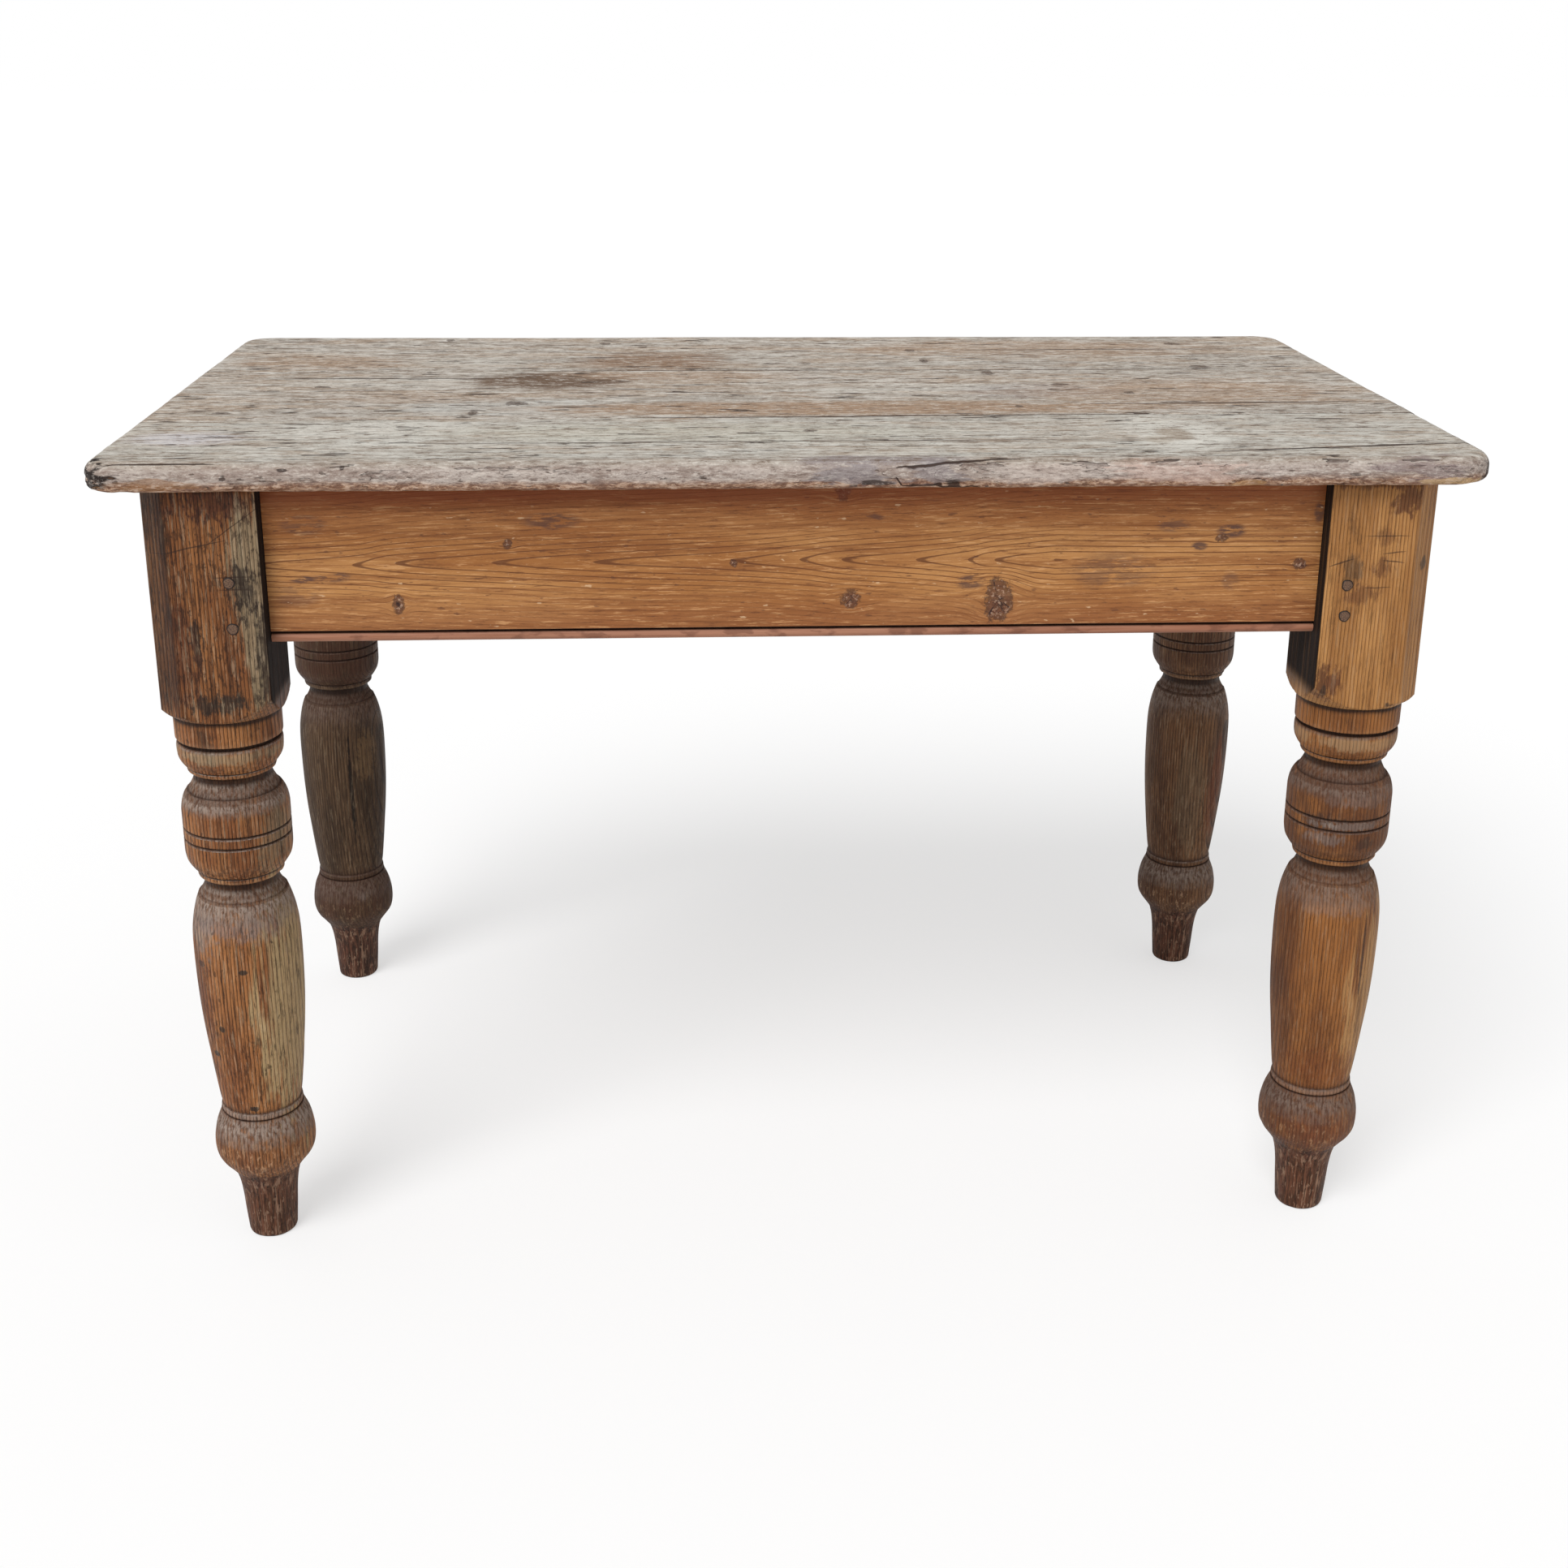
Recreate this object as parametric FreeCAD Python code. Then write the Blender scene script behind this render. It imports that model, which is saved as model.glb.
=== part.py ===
import FreeCAD, Part
import math
import os

# Farmhouse table in old pine: a three-board top on four turned legs, which four beaded aprons join
# with pegged mortise and tenon joints. Millimetres, +Z up, front towards -Y.
# The origin lies on the floor, under the middle of the top.

Vector = FreeCAD.Vector
ORIGIN = Vector(0, 0, 0)
X_AXIS = Vector(1, 0, 0)
Y_AXIS = Vector(0, 1, 0)
Z_AXIS = Vector(0, 0, 1)
QUARTER_TURN = 90
HALF_TURN = 180

# Whole table, and how far every cut runs past the wood that it cuts
table_height = 770.0
top_length = 1195.0
top_depth = 690.0
top_thickness = 25.0
end_overhang = 38.5
side_overhang = 21.0
overrun = 5.0

# Top boards. The front seam isn't quite square to the ends, so the front board tapers.
front_board_left_width = 188.0
front_board_right_width = 208.0
back_board_width = 237.0
board_gap = 0.6
edge_top_radius = 12.0
edge_bottom_bevel = 7.0
front_left_corner_radius = 32.0
front_right_corner_radius = 42.0
back_corner_radius = 35.0

# Loose tongues between the boards, stopped short of the ends
tongue_thickness = 6.0
tongue_width = 20.0
tongue_end_margin = 45.0
tongue_fit = 0.2

# Leg head, the square part that the lathe leaves
head_side = 102.5
head_height = 179.3
outer_chamfer = 23.0
inner_chamfer = 18.0

# Foot
foot_tip_radius = 23.4
foot_arris = 3.0
foot_taper_height = 52.0
foot_neck_radius = 27.6
flare_height = 20.0
flare_radius = 34.0
flare_hollow = 1.4

# Bun above the foot
bun_lower_height = 26.0
bun_radius = 47.0
bun_lower_swell = 4.2
bun_upper_height = 36.0
bun_top_radius = 39.0
bun_upper_swell = 2.7

# Ankle between the bun and the vase
ankle_ledge = 1.4
ankle_height = 10.0
ankle_radius = 37.0

# Vase, the long swelling part. Its lower part takes up whatever height the rest of the leg leaves.
vase_radius = 49.0
vase_lower_swell = 3.2
vase_upper_height = 56.0
vase_top_radius = 40.5
vase_upper_swell = 3.3

# Hollow neck above the vase, between two small ledges
neck_ledge = 1.5
lower_neck_height = 24.0
lower_neck_hollow = 5.2

# Barrel, with two grooves round it
barrel_lower_height = 17.0
barrel_low_radius = 39.4
barrel_radius = 48.3
barrel_swell = 1.7
lower_band_height = 14.2
middle_band_height = 7.9
upper_band_height = 15.4
groove_width = 2.6
groove_depth = 1.6
barrel_upper_height = 17.0
barrel_high_radius = 42.3

# Hollow neck above the barrel
upper_neck_height = 24.0
upper_neck_hollow = 5.6

# Bead and collar under the leg head
bead_lower_height = 14.0
bead_low_radius = 40.5
bead_radius = 47.0
bead_swell = 1.7
bead_band_height = 9.0
collar_groove_width = 4.0
collar_groove_depth = 3.2
collar_height = 24.0
collar_radius = 47.6

# Rounded shoulder where the turned part meets the square head
shoulder_ledge = 2.0
shoulder_height = 30.0
shoulder_swell = 6.0

# Flats that stand for round surfaces: round a leg, round pegs and screws, and up a swell or hollow
leg_flat_count = 20
small_flat_count = 8
large_swell_count = 3
small_swell_count = 2

# Aprons
apron_height = 140.0
apron_thickness = 22.0
apron_setback = 16.0
apron_bead_diameter = 8.6
quirk_width = 1.7

# Haunched tenons and their mortises
tenon_length = 58.0
tenon_thickness = 12.0
tenon_lower_shoulder = 6.0
haunch_height = 30.0
haunch_length = 12.0
tenon_arris = 3.0
mortise_fit = 0.15
mortise_extra_depth = 2.0

# Whittled pegs, driven flush from the outer faces of the leg heads
peg_radius = 5.2
peg_length = 62.0
peg_point_length = 12.0
peg_point_radius = 3.2
peg_fit = 0.15

# Places of the pegs at an apron's left-hand and right-hand end, seen from outside: how far they are
# from the inner face of the leg head, and how far above the apron's lower edge
left_peg_inset = 28.5
left_lower_peg_rise = 17.5
left_upper_peg_rise = 58.0
right_peg_inset = 21.5
right_lower_peg_rise = 19.5
right_upper_peg_rise = 47.5

# Pocket screws, driven up through the aprons into the top
screw_tilt_degrees = 14.0
screw_seat_depth = 25.0
screw_bite = 15.0
screw_radius = 2.4
screw_point_length = 6.0
screw_point_radius = 0.6
screw_head_radius = 4.8
screw_head_height = 2.8
screw_fit = 0.15
pocket_radius = 6.4

# Glue blocks in the corners between the aprons and the top
block_length = 60.0
block_side = 26.0
block_chamfer = 14.0

# Places along an apron from its middle, as shares of its free length
long_screw_shares = (-0.34, 0.34)
short_screw_shares = (-0.42, 0.0, 0.42)
long_block_shares = (-0.2, 0.0, 0.2)
short_block_shares = (-0.17, 0.17)

# Levels, centres and lengths that several pieces share
top_underside = table_height - top_thickness
apron_bottom = top_underside - apron_height
half_head = head_side / 2
leg_x = top_length / 2 - end_overhang - half_head
leg_y = top_depth / 2 - side_overhang - half_head
long_free_length = 2 * (leg_x - half_head)
short_free_length = 2 * (leg_y - half_head)
long_side_distance = leg_y + half_head - apron_setback
short_side_distance = leg_x + half_head - apron_setback

# Heights of everything on a leg but the lower part of its vase, from the foot up
fixed_heights = (
    foot_arris,
    foot_taper_height,
    flare_height,
    bun_lower_height,
    bun_upper_height,
    ankle_height,
    vase_upper_height,
    lower_neck_height,
    barrel_lower_height,
    lower_band_height,
    groove_width,
    middle_band_height,
    groove_width,
    upper_band_height,
    barrel_upper_height,
    upper_neck_height,
    bead_lower_height,
    bead_band_height,
    collar_groove_width,
    collar_height,
    shoulder_height,
    head_height,
)
vase_lower_height = top_underside - sum(fixed_heights)


# One side of the table. Its pieces are drawn with X along the apron, from the middle of its length,
# Y inwards from its outer face and Z up from its lower edge, so one drawing serves all four sides.
class Side:
    def __init__(self, turn, distance, free_length, screw_shares, block_shares):
        self.turn = turn
        self.distance = distance
        self.half_length = free_length / 2
        self.screw_places = [share * free_length for share in screw_shares]
        self.block_places = [share * free_length for share in block_shares]

    def place(self, shape):
        placed = shape.copy()
        placed.translate(Vector(0, -self.distance, apron_bottom))
        placed.rotate(ORIGIN, Z_AXIS, self.turn)
        return placed


def long_side(turn):
    return Side(turn, long_side_distance, long_free_length, long_screw_shares, long_block_shares)


def short_side(turn):
    return Side(turn, short_side_distance, short_free_length, short_screw_shares, short_block_shares)


sides = {
    "front": long_side(0),
    "right": short_side(QUARTER_TURN),
    "back": long_side(HALF_TURN),
    "left": short_side(HALF_TURN + QUARTER_TURN),
}

# Each leg: which way it stands along X and Y, and the apron ends that it takes, where -1 is an
# apron's left-hand end and 1 its right-hand end, seen from outside.
legs = {
    "front_left": (-1, -1, (("front", -1), ("left", 1))),
    "front_right": (1, -1, (("front", 1), ("right", -1))),
    "back_right": (1, 1, (("right", 1), ("back", -1))),
    "back_left": (-1, 1, (("back", 1), ("left", -1))),
}


# A flat face with straight edges through the points.
def flat(points):
    return Part.Face(Part.makePolygon(points + points[:1]))


# Half outline of a turned piece, as points of radius and height, drawn upwards.
class Turning:
    def __init__(self, radius, height):
        self.points = [(radius, height)]

    def straight(self, radius, rise):
        self.points.append((radius, self.points[-1][1] + rise))

    # A shallow curve that stands off its chord by the swell in the middle, or sinks below it by a
    # negative one. Along the chord that distance grows and shrinks as a parabola.
    def curve(self, radius, rise, swell, flats=large_swell_count):
        first_radius, first_height = self.points[-1]
        spread = radius - first_radius
        chord = math.hypot(spread, rise)
        for step in range(1, flats + 1):
            along = step / flats
            off = swell * (1 - (2 * along - 1) ** 2)
            out = first_radius + spread * along + off * rise / chord
            up = first_height + rise * along - off * spread / chord
            self.points.append((out, up))

    # The solid that the outline makes when it is turned about the Z axis, with flats round it.
    def solid(self, flats):
        turns = [2 * math.pi * (number + 0.5) / flats for number in range(flats)]
        rings = []
        for radius, height in self.points:
            ring = [Vector(radius * math.cos(t), radius * math.sin(t), height) for t in turns]
            rings.append(ring)
        faces = [flat(rings[0]), flat(rings[-1])]
        for low, high in zip(rings, rings[1:]):
            for number in range(flats):
                following = (number + 1) % flats
                faces.append(flat([low[number], low[following], high[following], high[number]]))
        return Part.Solid(Part.Shell(faces))


def write(name, shape):
    shape.exportStep("parts/" + name + ".step")


# Peg: a whittled pin with a blunt point, drawn inwards from the leg head's outer face.
# Made larger by a fit, the same drawing is the hole that the peg is driven into.
def peg(side, inset, rise, end, fit):
    outline = Turning(peg_radius + fit, 0)
    outline.straight(peg_radius + fit, peg_length - peg_point_length)
    outline.straight(peg_point_radius + fit, peg_point_length + fit)
    pin = outline.solid(small_flat_count)
    pin.rotate(ORIGIN, X_AXIS, -QUARTER_TURN)
    pin.translate(Vector(end * (side.half_length + inset), -apron_setback, rise))
    return side.place(pin)


# The two pegs, or peg holes, at one end of a side's apron.
def pegs_at(side, end, fit):
    if end < 0:
        inset = left_peg_inset
        rises = (left_lower_peg_rise, left_upper_peg_rise)
    else:
        inset = right_peg_inset
        rises = (right_lower_peg_rise, right_upper_peg_rise)
    return [peg(side, inset, rise, end, fit) for rise in rises]


# Tenon at one end of a side's apron, with a haunch at the top, a small shoulder at the bottom and
# the arrises taken off its tip. Made larger by a fit, and deeper, it is the mortise that takes it.
def tenon(side, end, fit, extra_depth):
    root = side.half_length - overrun
    tip = side.half_length + tenon_length + extra_depth
    haunch = side.half_length + haunch_length + fit
    low = tenon_lower_shoulder - fit
    high = apron_height - haunch_height + fit
    top = apron_height + (overrun if fit else 0)
    outline = [
        (root, low),
        (tip - tenon_arris, low),
        (tip, low + tenon_arris),
        (tip, high - tenon_arris),
        (tip - tenon_arris, high),
        (haunch, high),
        (haunch, top),
        (root, top),
    ]
    cheek = (apron_thickness - tenon_thickness) / 2 - fit
    face = flat([Vector(end * along, cheek, up) for along, up in outline])
    return face.extrude(Y_AXIS * (tenon_thickness + 2 * fit))


# A shape drawn on a screw's own axis, put where that screw goes. Zero on the axis is the apron's top
# edge, and the screw leans outwards from its pocket in the apron's inner face.
def at_screw(shape, place):
    leaning = shape.copy()
    leaning.rotate(ORIGIN, X_AXIS, screw_tilt_degrees)
    leaning.translate(Vector(place, apron_thickness / 2, apron_height))
    return leaning


# Screw, head down in its pocket, with its point in the top.
def screw():
    outline = Turning(screw_head_radius, -screw_seat_depth - screw_head_height)
    outline.straight(screw_head_radius, screw_head_height)
    outline.straight(screw_radius, 0)
    outline.straight(screw_radius, screw_seat_depth + screw_bite - screw_point_length)
    outline.straight(screw_point_radius, screw_point_length)
    return outline.solid(small_flat_count)


# Way for the screw, through the apron's top edge and into the board above it.
def screw_hole():
    outline = Turning(screw_radius + screw_fit, -screw_seat_depth - overrun)
    outline.straight(screw_radius + screw_fit, overrun + screw_seat_depth + screw_bite + screw_fit)
    return outline.solid(small_flat_count)


# Pocket gouged up from the apron's inner face to the seat of the screw's head.
def screw_pocket():
    lean = math.radians(screw_tilt_degrees)
    way_out = (apron_thickness / 2 + pocket_radius) / math.sin(lean) + overrun
    outline = Turning(pocket_radius, -way_out)
    outline.straight(pocket_radius, way_out - screw_seat_depth)
    return outline.solid(small_flat_count)


# Cross-section of an apron: a plain board with a bead and quirk run along its lower outer edge.
def apron_section():
    radius = apron_bead_diameter / 2
    quirk_top = apron_bead_diameter + quirk_width
    bead_bottom = Vector(0, radius, 0)
    bead_top = Vector(0, radius, apron_bead_diameter)
    bead = Part.Arc(bead_bottom, Vector(0, 0, radius), bead_top).toShape()
    rest = [
        bead_top,
        Vector(0, radius, quirk_top),
        Vector(0, 0, quirk_top),
        Vector(0, 0, apron_height),
        Vector(0, apron_thickness, apron_height),
        Vector(0, apron_thickness, 0),
        bead_bottom,
    ]
    return Part.Face(Part.Wire([bead] + Part.makePolygon(rest).Edges))


# Apron: its section run between the leg heads, a pegged tenon at each end, and pockets for screws.
def apron(side):
    section = apron_section()
    section.translate(X_AXIS * -side.half_length)
    board = section.extrude(X_AXIS * (2 * side.half_length))
    for end in (-1, 1):
        board = board.fuse(tenon(side, end, 0, 0))
    board = board.removeSplitter()
    for place in side.screw_places:
        board = board.cut([at_screw(screw_pocket(), place), at_screw(screw_hole(), place)])
    board = side.place(board)
    return board.cut(pegs_at(side, -1, peg_fit) + pegs_at(side, 1, peg_fit))


# What the lathe leaves of a leg, from the foot up. Above its shoulder the outline stands clear of
# the corners, where the blank stays square.
def turned_outline():
    outline = Turning(foot_tip_radius - foot_arris, 0)
    outline.straight(foot_tip_radius, foot_arris)
    outline.straight(foot_neck_radius, foot_taper_height)
    outline.curve(flare_radius, flare_height, -flare_hollow, small_swell_count)
    outline.curve(bun_radius, bun_lower_height, bun_lower_swell)
    outline.curve(bun_top_radius, bun_upper_height, bun_upper_swell)
    outline.straight(bun_top_radius - ankle_ledge, 0)
    outline.straight(ankle_radius, ankle_height)
    outline.curve(vase_radius, vase_lower_height, vase_lower_swell)
    outline.curve(vase_top_radius, vase_upper_height, vase_upper_swell)
    outline.straight(vase_top_radius - neck_ledge, 0)
    outline.curve(barrel_low_radius - neck_ledge, lower_neck_height, -lower_neck_hollow)
    outline.straight(barrel_low_radius, 0)
    outline.curve(barrel_radius, barrel_lower_height, barrel_swell, small_swell_count)
    for band_height in (lower_band_height, middle_band_height):
        outline.straight(barrel_radius, band_height)
        outline.straight(barrel_radius - groove_depth, groove_width / 2)
        outline.straight(barrel_radius, groove_width / 2)
    outline.straight(barrel_radius, upper_band_height)
    outline.curve(barrel_high_radius, barrel_upper_height, barrel_swell, small_swell_count)
    outline.straight(barrel_high_radius - neck_ledge, 0)
    outline.curve(bead_low_radius - neck_ledge, upper_neck_height, -upper_neck_hollow)
    outline.straight(bead_low_radius, 0)
    outline.curve(bead_radius, bead_lower_height, bead_swell, small_swell_count)
    outline.straight(bead_radius, bead_band_height)
    outline.straight(collar_radius - collar_groove_depth, collar_groove_width / 2)
    outline.straight(collar_radius, collar_groove_width / 2)
    outline.straight(collar_radius, collar_height)
    outline.straight(collar_radius + shoulder_ledge, 0)
    clear_of_corners = math.hypot(half_head, half_head) + overrun
    outline.curve(clear_of_corners, shoulder_height, shoulder_swell)
    outline.straight(clear_of_corners, head_height + overrun)
    return outline


# Leg: a square blank, chamfered on its outer and inner corners, turned below its head, and mortised
# and bored for the two aprons that it takes.
def leg(way_x, way_y, joints):
    outer = half_head - outer_chamfer
    inner = half_head - inner_chamfer
    corners = [
        (half_head, outer),
        (outer, half_head),
        (-half_head, half_head),
        (-half_head, -inner),
        (-inner, -half_head),
        (half_head, -half_head),
    ]
    blank = flat([Vector(way_x * x, way_y * y, 0) for x, y in corners])
    blank = blank.extrude(Z_AXIS * top_underside)
    shape = blank.common(turned_outline().solid(leg_flat_count))
    shape.translate(Vector(way_x * leg_x, way_y * leg_y, 0))
    cutters = []
    for side_name, end in joints:
        side = sides[side_name]
        cutters.append(side.place(tenon(side, end, mortise_fit, mortise_extra_depth)))
        cutters += pegs_at(side, end, peg_fit)
    return shape.cut(cutters)


# Whole top, before it is parted into boards: rounded at its corners and along its upper edge, and
# bevelled along its lower edge.
def slab():
    half_length = top_length / 2
    half_depth = top_depth / 2
    middle = top_underside + top_thickness / 2
    shape = Part.makeBox(
        top_length, top_depth, top_thickness, Vector(-half_length, -half_depth, top_underside)
    )
    corner_radii = (
        (-half_length, -half_depth, front_left_corner_radius),
        (half_length, -half_depth, front_right_corner_radius),
        (-half_length, half_depth, back_corner_radius),
        (half_length, half_depth, back_corner_radius),
    )
    for x, y, radius in corner_radii:
        corner = Part.Vertex(x, y, middle)
        upright = min(shape.Edges, key=lambda edge: edge.distToShape(corner)[0])
        shape = shape.makeFillet(radius, [upright])
    upper = [edge for edge in shape.Edges if edge.BoundBox.ZMin > middle]
    shape = shape.makeFillet(edge_top_radius, upper)
    lower = [edge for edge in shape.Edges if edge.BoundBox.ZMax < middle]
    return shape.makeChamfer(edge_bottom_bevel, lower)


# Lines that run along the top: its two seams, and its two long edges with the overrun.
def front_seam(x):
    share = x / top_length + 0.5
    taper = front_board_right_width - front_board_left_width
    return -top_depth / 2 + front_board_left_width + taper * share


def back_seam(x):
    return top_depth / 2 - back_board_width


def front_edge(x):
    return -top_depth / 2 - overrun


def back_edge(x):
    return top_depth / 2 + overrun


# A strip between two such lines, each moved across by its own offset.
def strip(near_line, near_offset, far_line, far_offset, half_length, bottom, thickness):
    corners = [
        Vector(-half_length, near_line(-half_length) + near_offset, bottom),
        Vector(half_length, near_line(half_length) + near_offset, bottom),
        Vector(half_length, far_line(half_length) + far_offset, bottom),
        Vector(-half_length, far_line(-half_length) + far_offset, bottom),
    ]
    return flat(corners).extrude(Z_AXIS * thickness)


# Tongue along a seam, or the grooves for it when it is made larger by a fit.
def tongue(seam, fit):
    half_length = top_length / 2 - tongue_end_margin + fit
    reach = tongue_width / 2 + fit
    bottom = top_underside + (top_thickness - tongue_thickness) / 2 - fit
    return strip(seam, -reach, seam, reach, half_length, bottom, tongue_thickness + 2 * fit)


# Board of the top between two lines, grooved for the tongues and bored for the screws.
def top_board(near_line, near_offset, far_line, far_offset):
    half_length = top_length / 2 + overrun
    bottom = top_underside - overrun
    thickness = top_thickness + 2 * overrun
    board = strip(near_line, near_offset, far_line, far_offset, half_length, bottom, thickness)
    cutters = [tongue(front_seam, tongue_fit), tongue(back_seam, tongue_fit)]
    for side in sides.values():
        cutters += [side.place(at_screw(screw_hole(), place)) for place in side.screw_places]
    return slab().common(board).cut(cutters)


# Glue block: a short bar with its free edge planed off, rubbed into the corner under the top.
def glue_block(place):
    outline = [
        (0, 0),
        (0, -block_side),
        (block_side - block_chamfer, -block_side),
        (block_side, block_chamfer - block_side),
        (block_side, 0),
    ]
    start = place - block_length / 2
    points = [Vector(start, apron_thickness + y, apron_height + z) for y, z in outline]
    return flat(points).extrude(X_AXIS * block_length)


os.makedirs("parts", exist_ok=True)

half_gap = board_gap / 2
write("top_board_front", top_board(front_edge, 0, front_seam, -half_gap))
write("top_board_middle", top_board(front_seam, half_gap, back_seam, -half_gap))
write("top_board_back", top_board(back_seam, half_gap, back_edge, 0))
write("tongue_front", tongue(front_seam, 0))
write("tongue_back", tongue(back_seam, 0))

for name, (way_x, way_y, joints) in legs.items():
    write("leg_" + name, leg(way_x, way_y, joints))
    pegs = []
    for side_name, end in joints:
        pegs += pegs_at(sides[side_name], end, 0)
    write("pegs_" + name, Part.makeCompound(pegs))

for name, side in sides.items():
    write("apron_" + name, apron(side))
    screws = [side.place(at_screw(screw(), place)) for place in side.screw_places]
    write("screws_" + name, Part.makeCompound(screws))
    blocks = [side.place(glue_block(place)) for place in side.block_places]
    write("glue_blocks_" + name, Part.makeCompound(blocks))
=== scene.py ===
import math
from functools import reduce

import bmesh
import bpy
import numpy as np
from mathutils import Matrix


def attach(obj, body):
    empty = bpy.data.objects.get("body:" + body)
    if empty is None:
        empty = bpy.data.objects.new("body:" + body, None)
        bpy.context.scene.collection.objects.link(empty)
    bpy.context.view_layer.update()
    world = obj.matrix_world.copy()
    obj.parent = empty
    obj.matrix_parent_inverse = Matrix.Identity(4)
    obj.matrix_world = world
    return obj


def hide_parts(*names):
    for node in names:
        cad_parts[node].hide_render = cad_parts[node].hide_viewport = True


# An old pine farmhouse table: three scrubbed boards on four turned legs, joined by four beaded aprons.
# Metres, +Z up, front towards -Y, with the origin on the floor under the middle of the top.
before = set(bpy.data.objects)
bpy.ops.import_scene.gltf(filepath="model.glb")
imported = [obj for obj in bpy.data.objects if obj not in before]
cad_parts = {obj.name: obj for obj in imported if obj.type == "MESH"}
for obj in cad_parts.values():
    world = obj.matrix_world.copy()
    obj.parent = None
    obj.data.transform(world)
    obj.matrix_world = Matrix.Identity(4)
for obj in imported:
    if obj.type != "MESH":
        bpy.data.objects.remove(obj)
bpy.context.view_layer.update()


# Camera: a standing person's view of the long side, a little from the left and looking down.
# Its place, axes and lens are those that put the table's corners and feet where the photograph has them.
def stand(name, data, place, right, up, back):
    """Links a camera or a lamp at a place, turned so that its own axes point right, up and back."""
    thing = bpy.data.objects.new(name, data)
    bpy.context.collection.objects.link(thing)
    thing.matrix_world = Matrix.Translation(place) @ Matrix((right, up, back)).transposed().to_4x4()
    return thing


camera_data = bpy.data.cameras.new("camera")
camera_data.sensor_width = 36.0
camera_data.lens = 45.455
camera_data.shift_x = -0.00744
camera_data.shift_y = -0.05783
bpy.context.scene.camera = stand(
    "camera", camera_data, (-0.10053, -1.96172, 1.11842),
    right=(0.99839, -0.05633, 0.00674), up=(0.01181, 0.32263, 0.94645), back=(-0.05549, -0.94485, 0.32278))
bpy.context.scene.view_settings.view_transform = "Standard"


# Floor and light: a plain pale floor under an even, overcast sky, with one broad soft lamp far away.
# The lamp stands high in front and to the left, and the floor keeps the table's faint shadow.
def paint(red, green, blue):
    """A colour from its screen values, 0 to 255: each is divided by 255 and its screen curve undone."""
    shares = np.array([red, green, blue]) / 255
    linear = np.where(shares < 0.04045, shares / 12.92, ((shares + 0.055) / 1.055) ** 2.4)
    return (*linear.tolist(), 1.0)


class Nodes:
    """Adds nodes to a tree. Each call joins or sets a node's inputs and gives back one of its outputs.

    A colour to mix is an output, or three screen values from 0 to 255.
    """

    def __init__(self, tree):
        self.tree = tree

    def fill(self, node, inputs):
        for key, value in inputs.items():
            if isinstance(value, bpy.types.NodeSocket):
                self.tree.links.new(value, node.inputs[key])
            else:
                node.inputs[key].default_value = value

    def add(self, kind, inputs, output=0, **settings):
        node = self.tree.nodes.new("ShaderNode" + kind)
        for name, value in settings.items():
            setattr(node, name, value)
        self.fill(node, inputs)
        return node.outputs[output]

    def group(self, tree, **inputs):
        """Places a node group and gives back its outputs by name."""
        node = self.tree.nodes.new("ShaderNodeGroup")
        node.node_tree = tree
        self.fill(node, inputs)
        return node.outputs

    def math(self, operation, a, b=0.0):
        return self.add("Math", {0: a, 1: b}, operation=operation)

    def times(self, *values):
        return reduce(lambda a, b: self.math("MULTIPLY", a, b), values)

    def plus(self, *values):
        return reduce(lambda a, b: self.math("ADD", a, b), values)

    def minus(self, a, b):
        return self.math("SUBTRACT", a, b)

    def most(self, *values):
        return reduce(lambda a, b: self.math("MAXIMUM", a, b), values)

    def step(self, value, low, high, start=0.0, end=1.0):
        """A smooth step: start below low, end above high, and an S-shaped rise between them."""
        inputs = {0: value, 1: low, 2: high, 3: start, 4: end}
        return self.add("MapRange", inputs, interpolation_type="SMOOTHSTEP")

    def vector(self, operation, a, b=(0.0, 0.0, 0.0)):
        output = 1 if operation == "LENGTH" else 0
        return self.add("VectorMath", {0: a, 1: b}, output, operation=operation)

    def part(self, vector, axis):
        return self.add("SeparateXYZ", {0: vector}, "XYZ".index(axis))

    def join(self, x, y, z):
        return self.add("CombineXYZ", {0: x, 1: y, 2: z})

    def noise(self, vector, scale, detail=3.0, roughness=0.55, distortion=0.0):
        """Noise from 0 to 1, with one scale or with its own along each axis."""
        if isinstance(scale, tuple):
            vector, scale = self.vector("MULTIPLY", vector, scale), 1.0
        inputs = {"Vector": vector, "Scale": scale, "Detail": detail, "Roughness": roughness,
                  "Distortion": distortion}
        return self.add("TexNoise", inputs, "Fac")

    def spot(self, vector, centre, radii):
        """A soft patch: 1 at its centre, falling evenly to 0 at its radii."""
        inputs = {"Vector": vector, "Location": centre, "Scale": radii}
        local = self.add("Mapping", inputs, vector_type="TEXTURE")
        return self.add("TexGradient", {"Vector": local}, 1, gradient_type="SPHERICAL")

    def mix(self, share, a, b):
        a, b = (paint(*colour) if isinstance(colour, tuple) else colour for colour in (a, b))
        return self.add("Mix", {0: share, 6: a, 7: b}, 2, data_type="RGBA")

    def lay(self, colour, tint, *shares):
        """Lays a tint over a colour, by the product of the shares."""
        return self.mix(self.times(*shares), colour, tint)

    def layers(self, colour, rows):
        """Lays tints one over the other, each by its share where its value has passed from low to high."""
        for value, low, high, share, tint in rows:
            colour = self.lay(colour, tint, self.step(value, low, high), share)
        return colour

    def end(self, shader, kind="Material"):
        output = self.tree.nodes.new("ShaderNodeOutput" + kind)
        self.tree.links.new(shader, output.inputs["Surface"])

    def coat(self, colour, roughness, relief, strength, distance, specular=0.5, metallic=0.0):
        """Ends a material with a Principled surface, its relief as a bump of a strength and distance."""
        bump = self.add("Bump", {"Strength": strength, "Distance": distance, "Height": relief})
        inputs = {"Base Color": colour, "Metallic": metallic, "Roughness": roughness, "Normal": bump,
                  "Specular IOR Level": specular}
        self.end(self.add("BsdfPrincipled", inputs))


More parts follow.
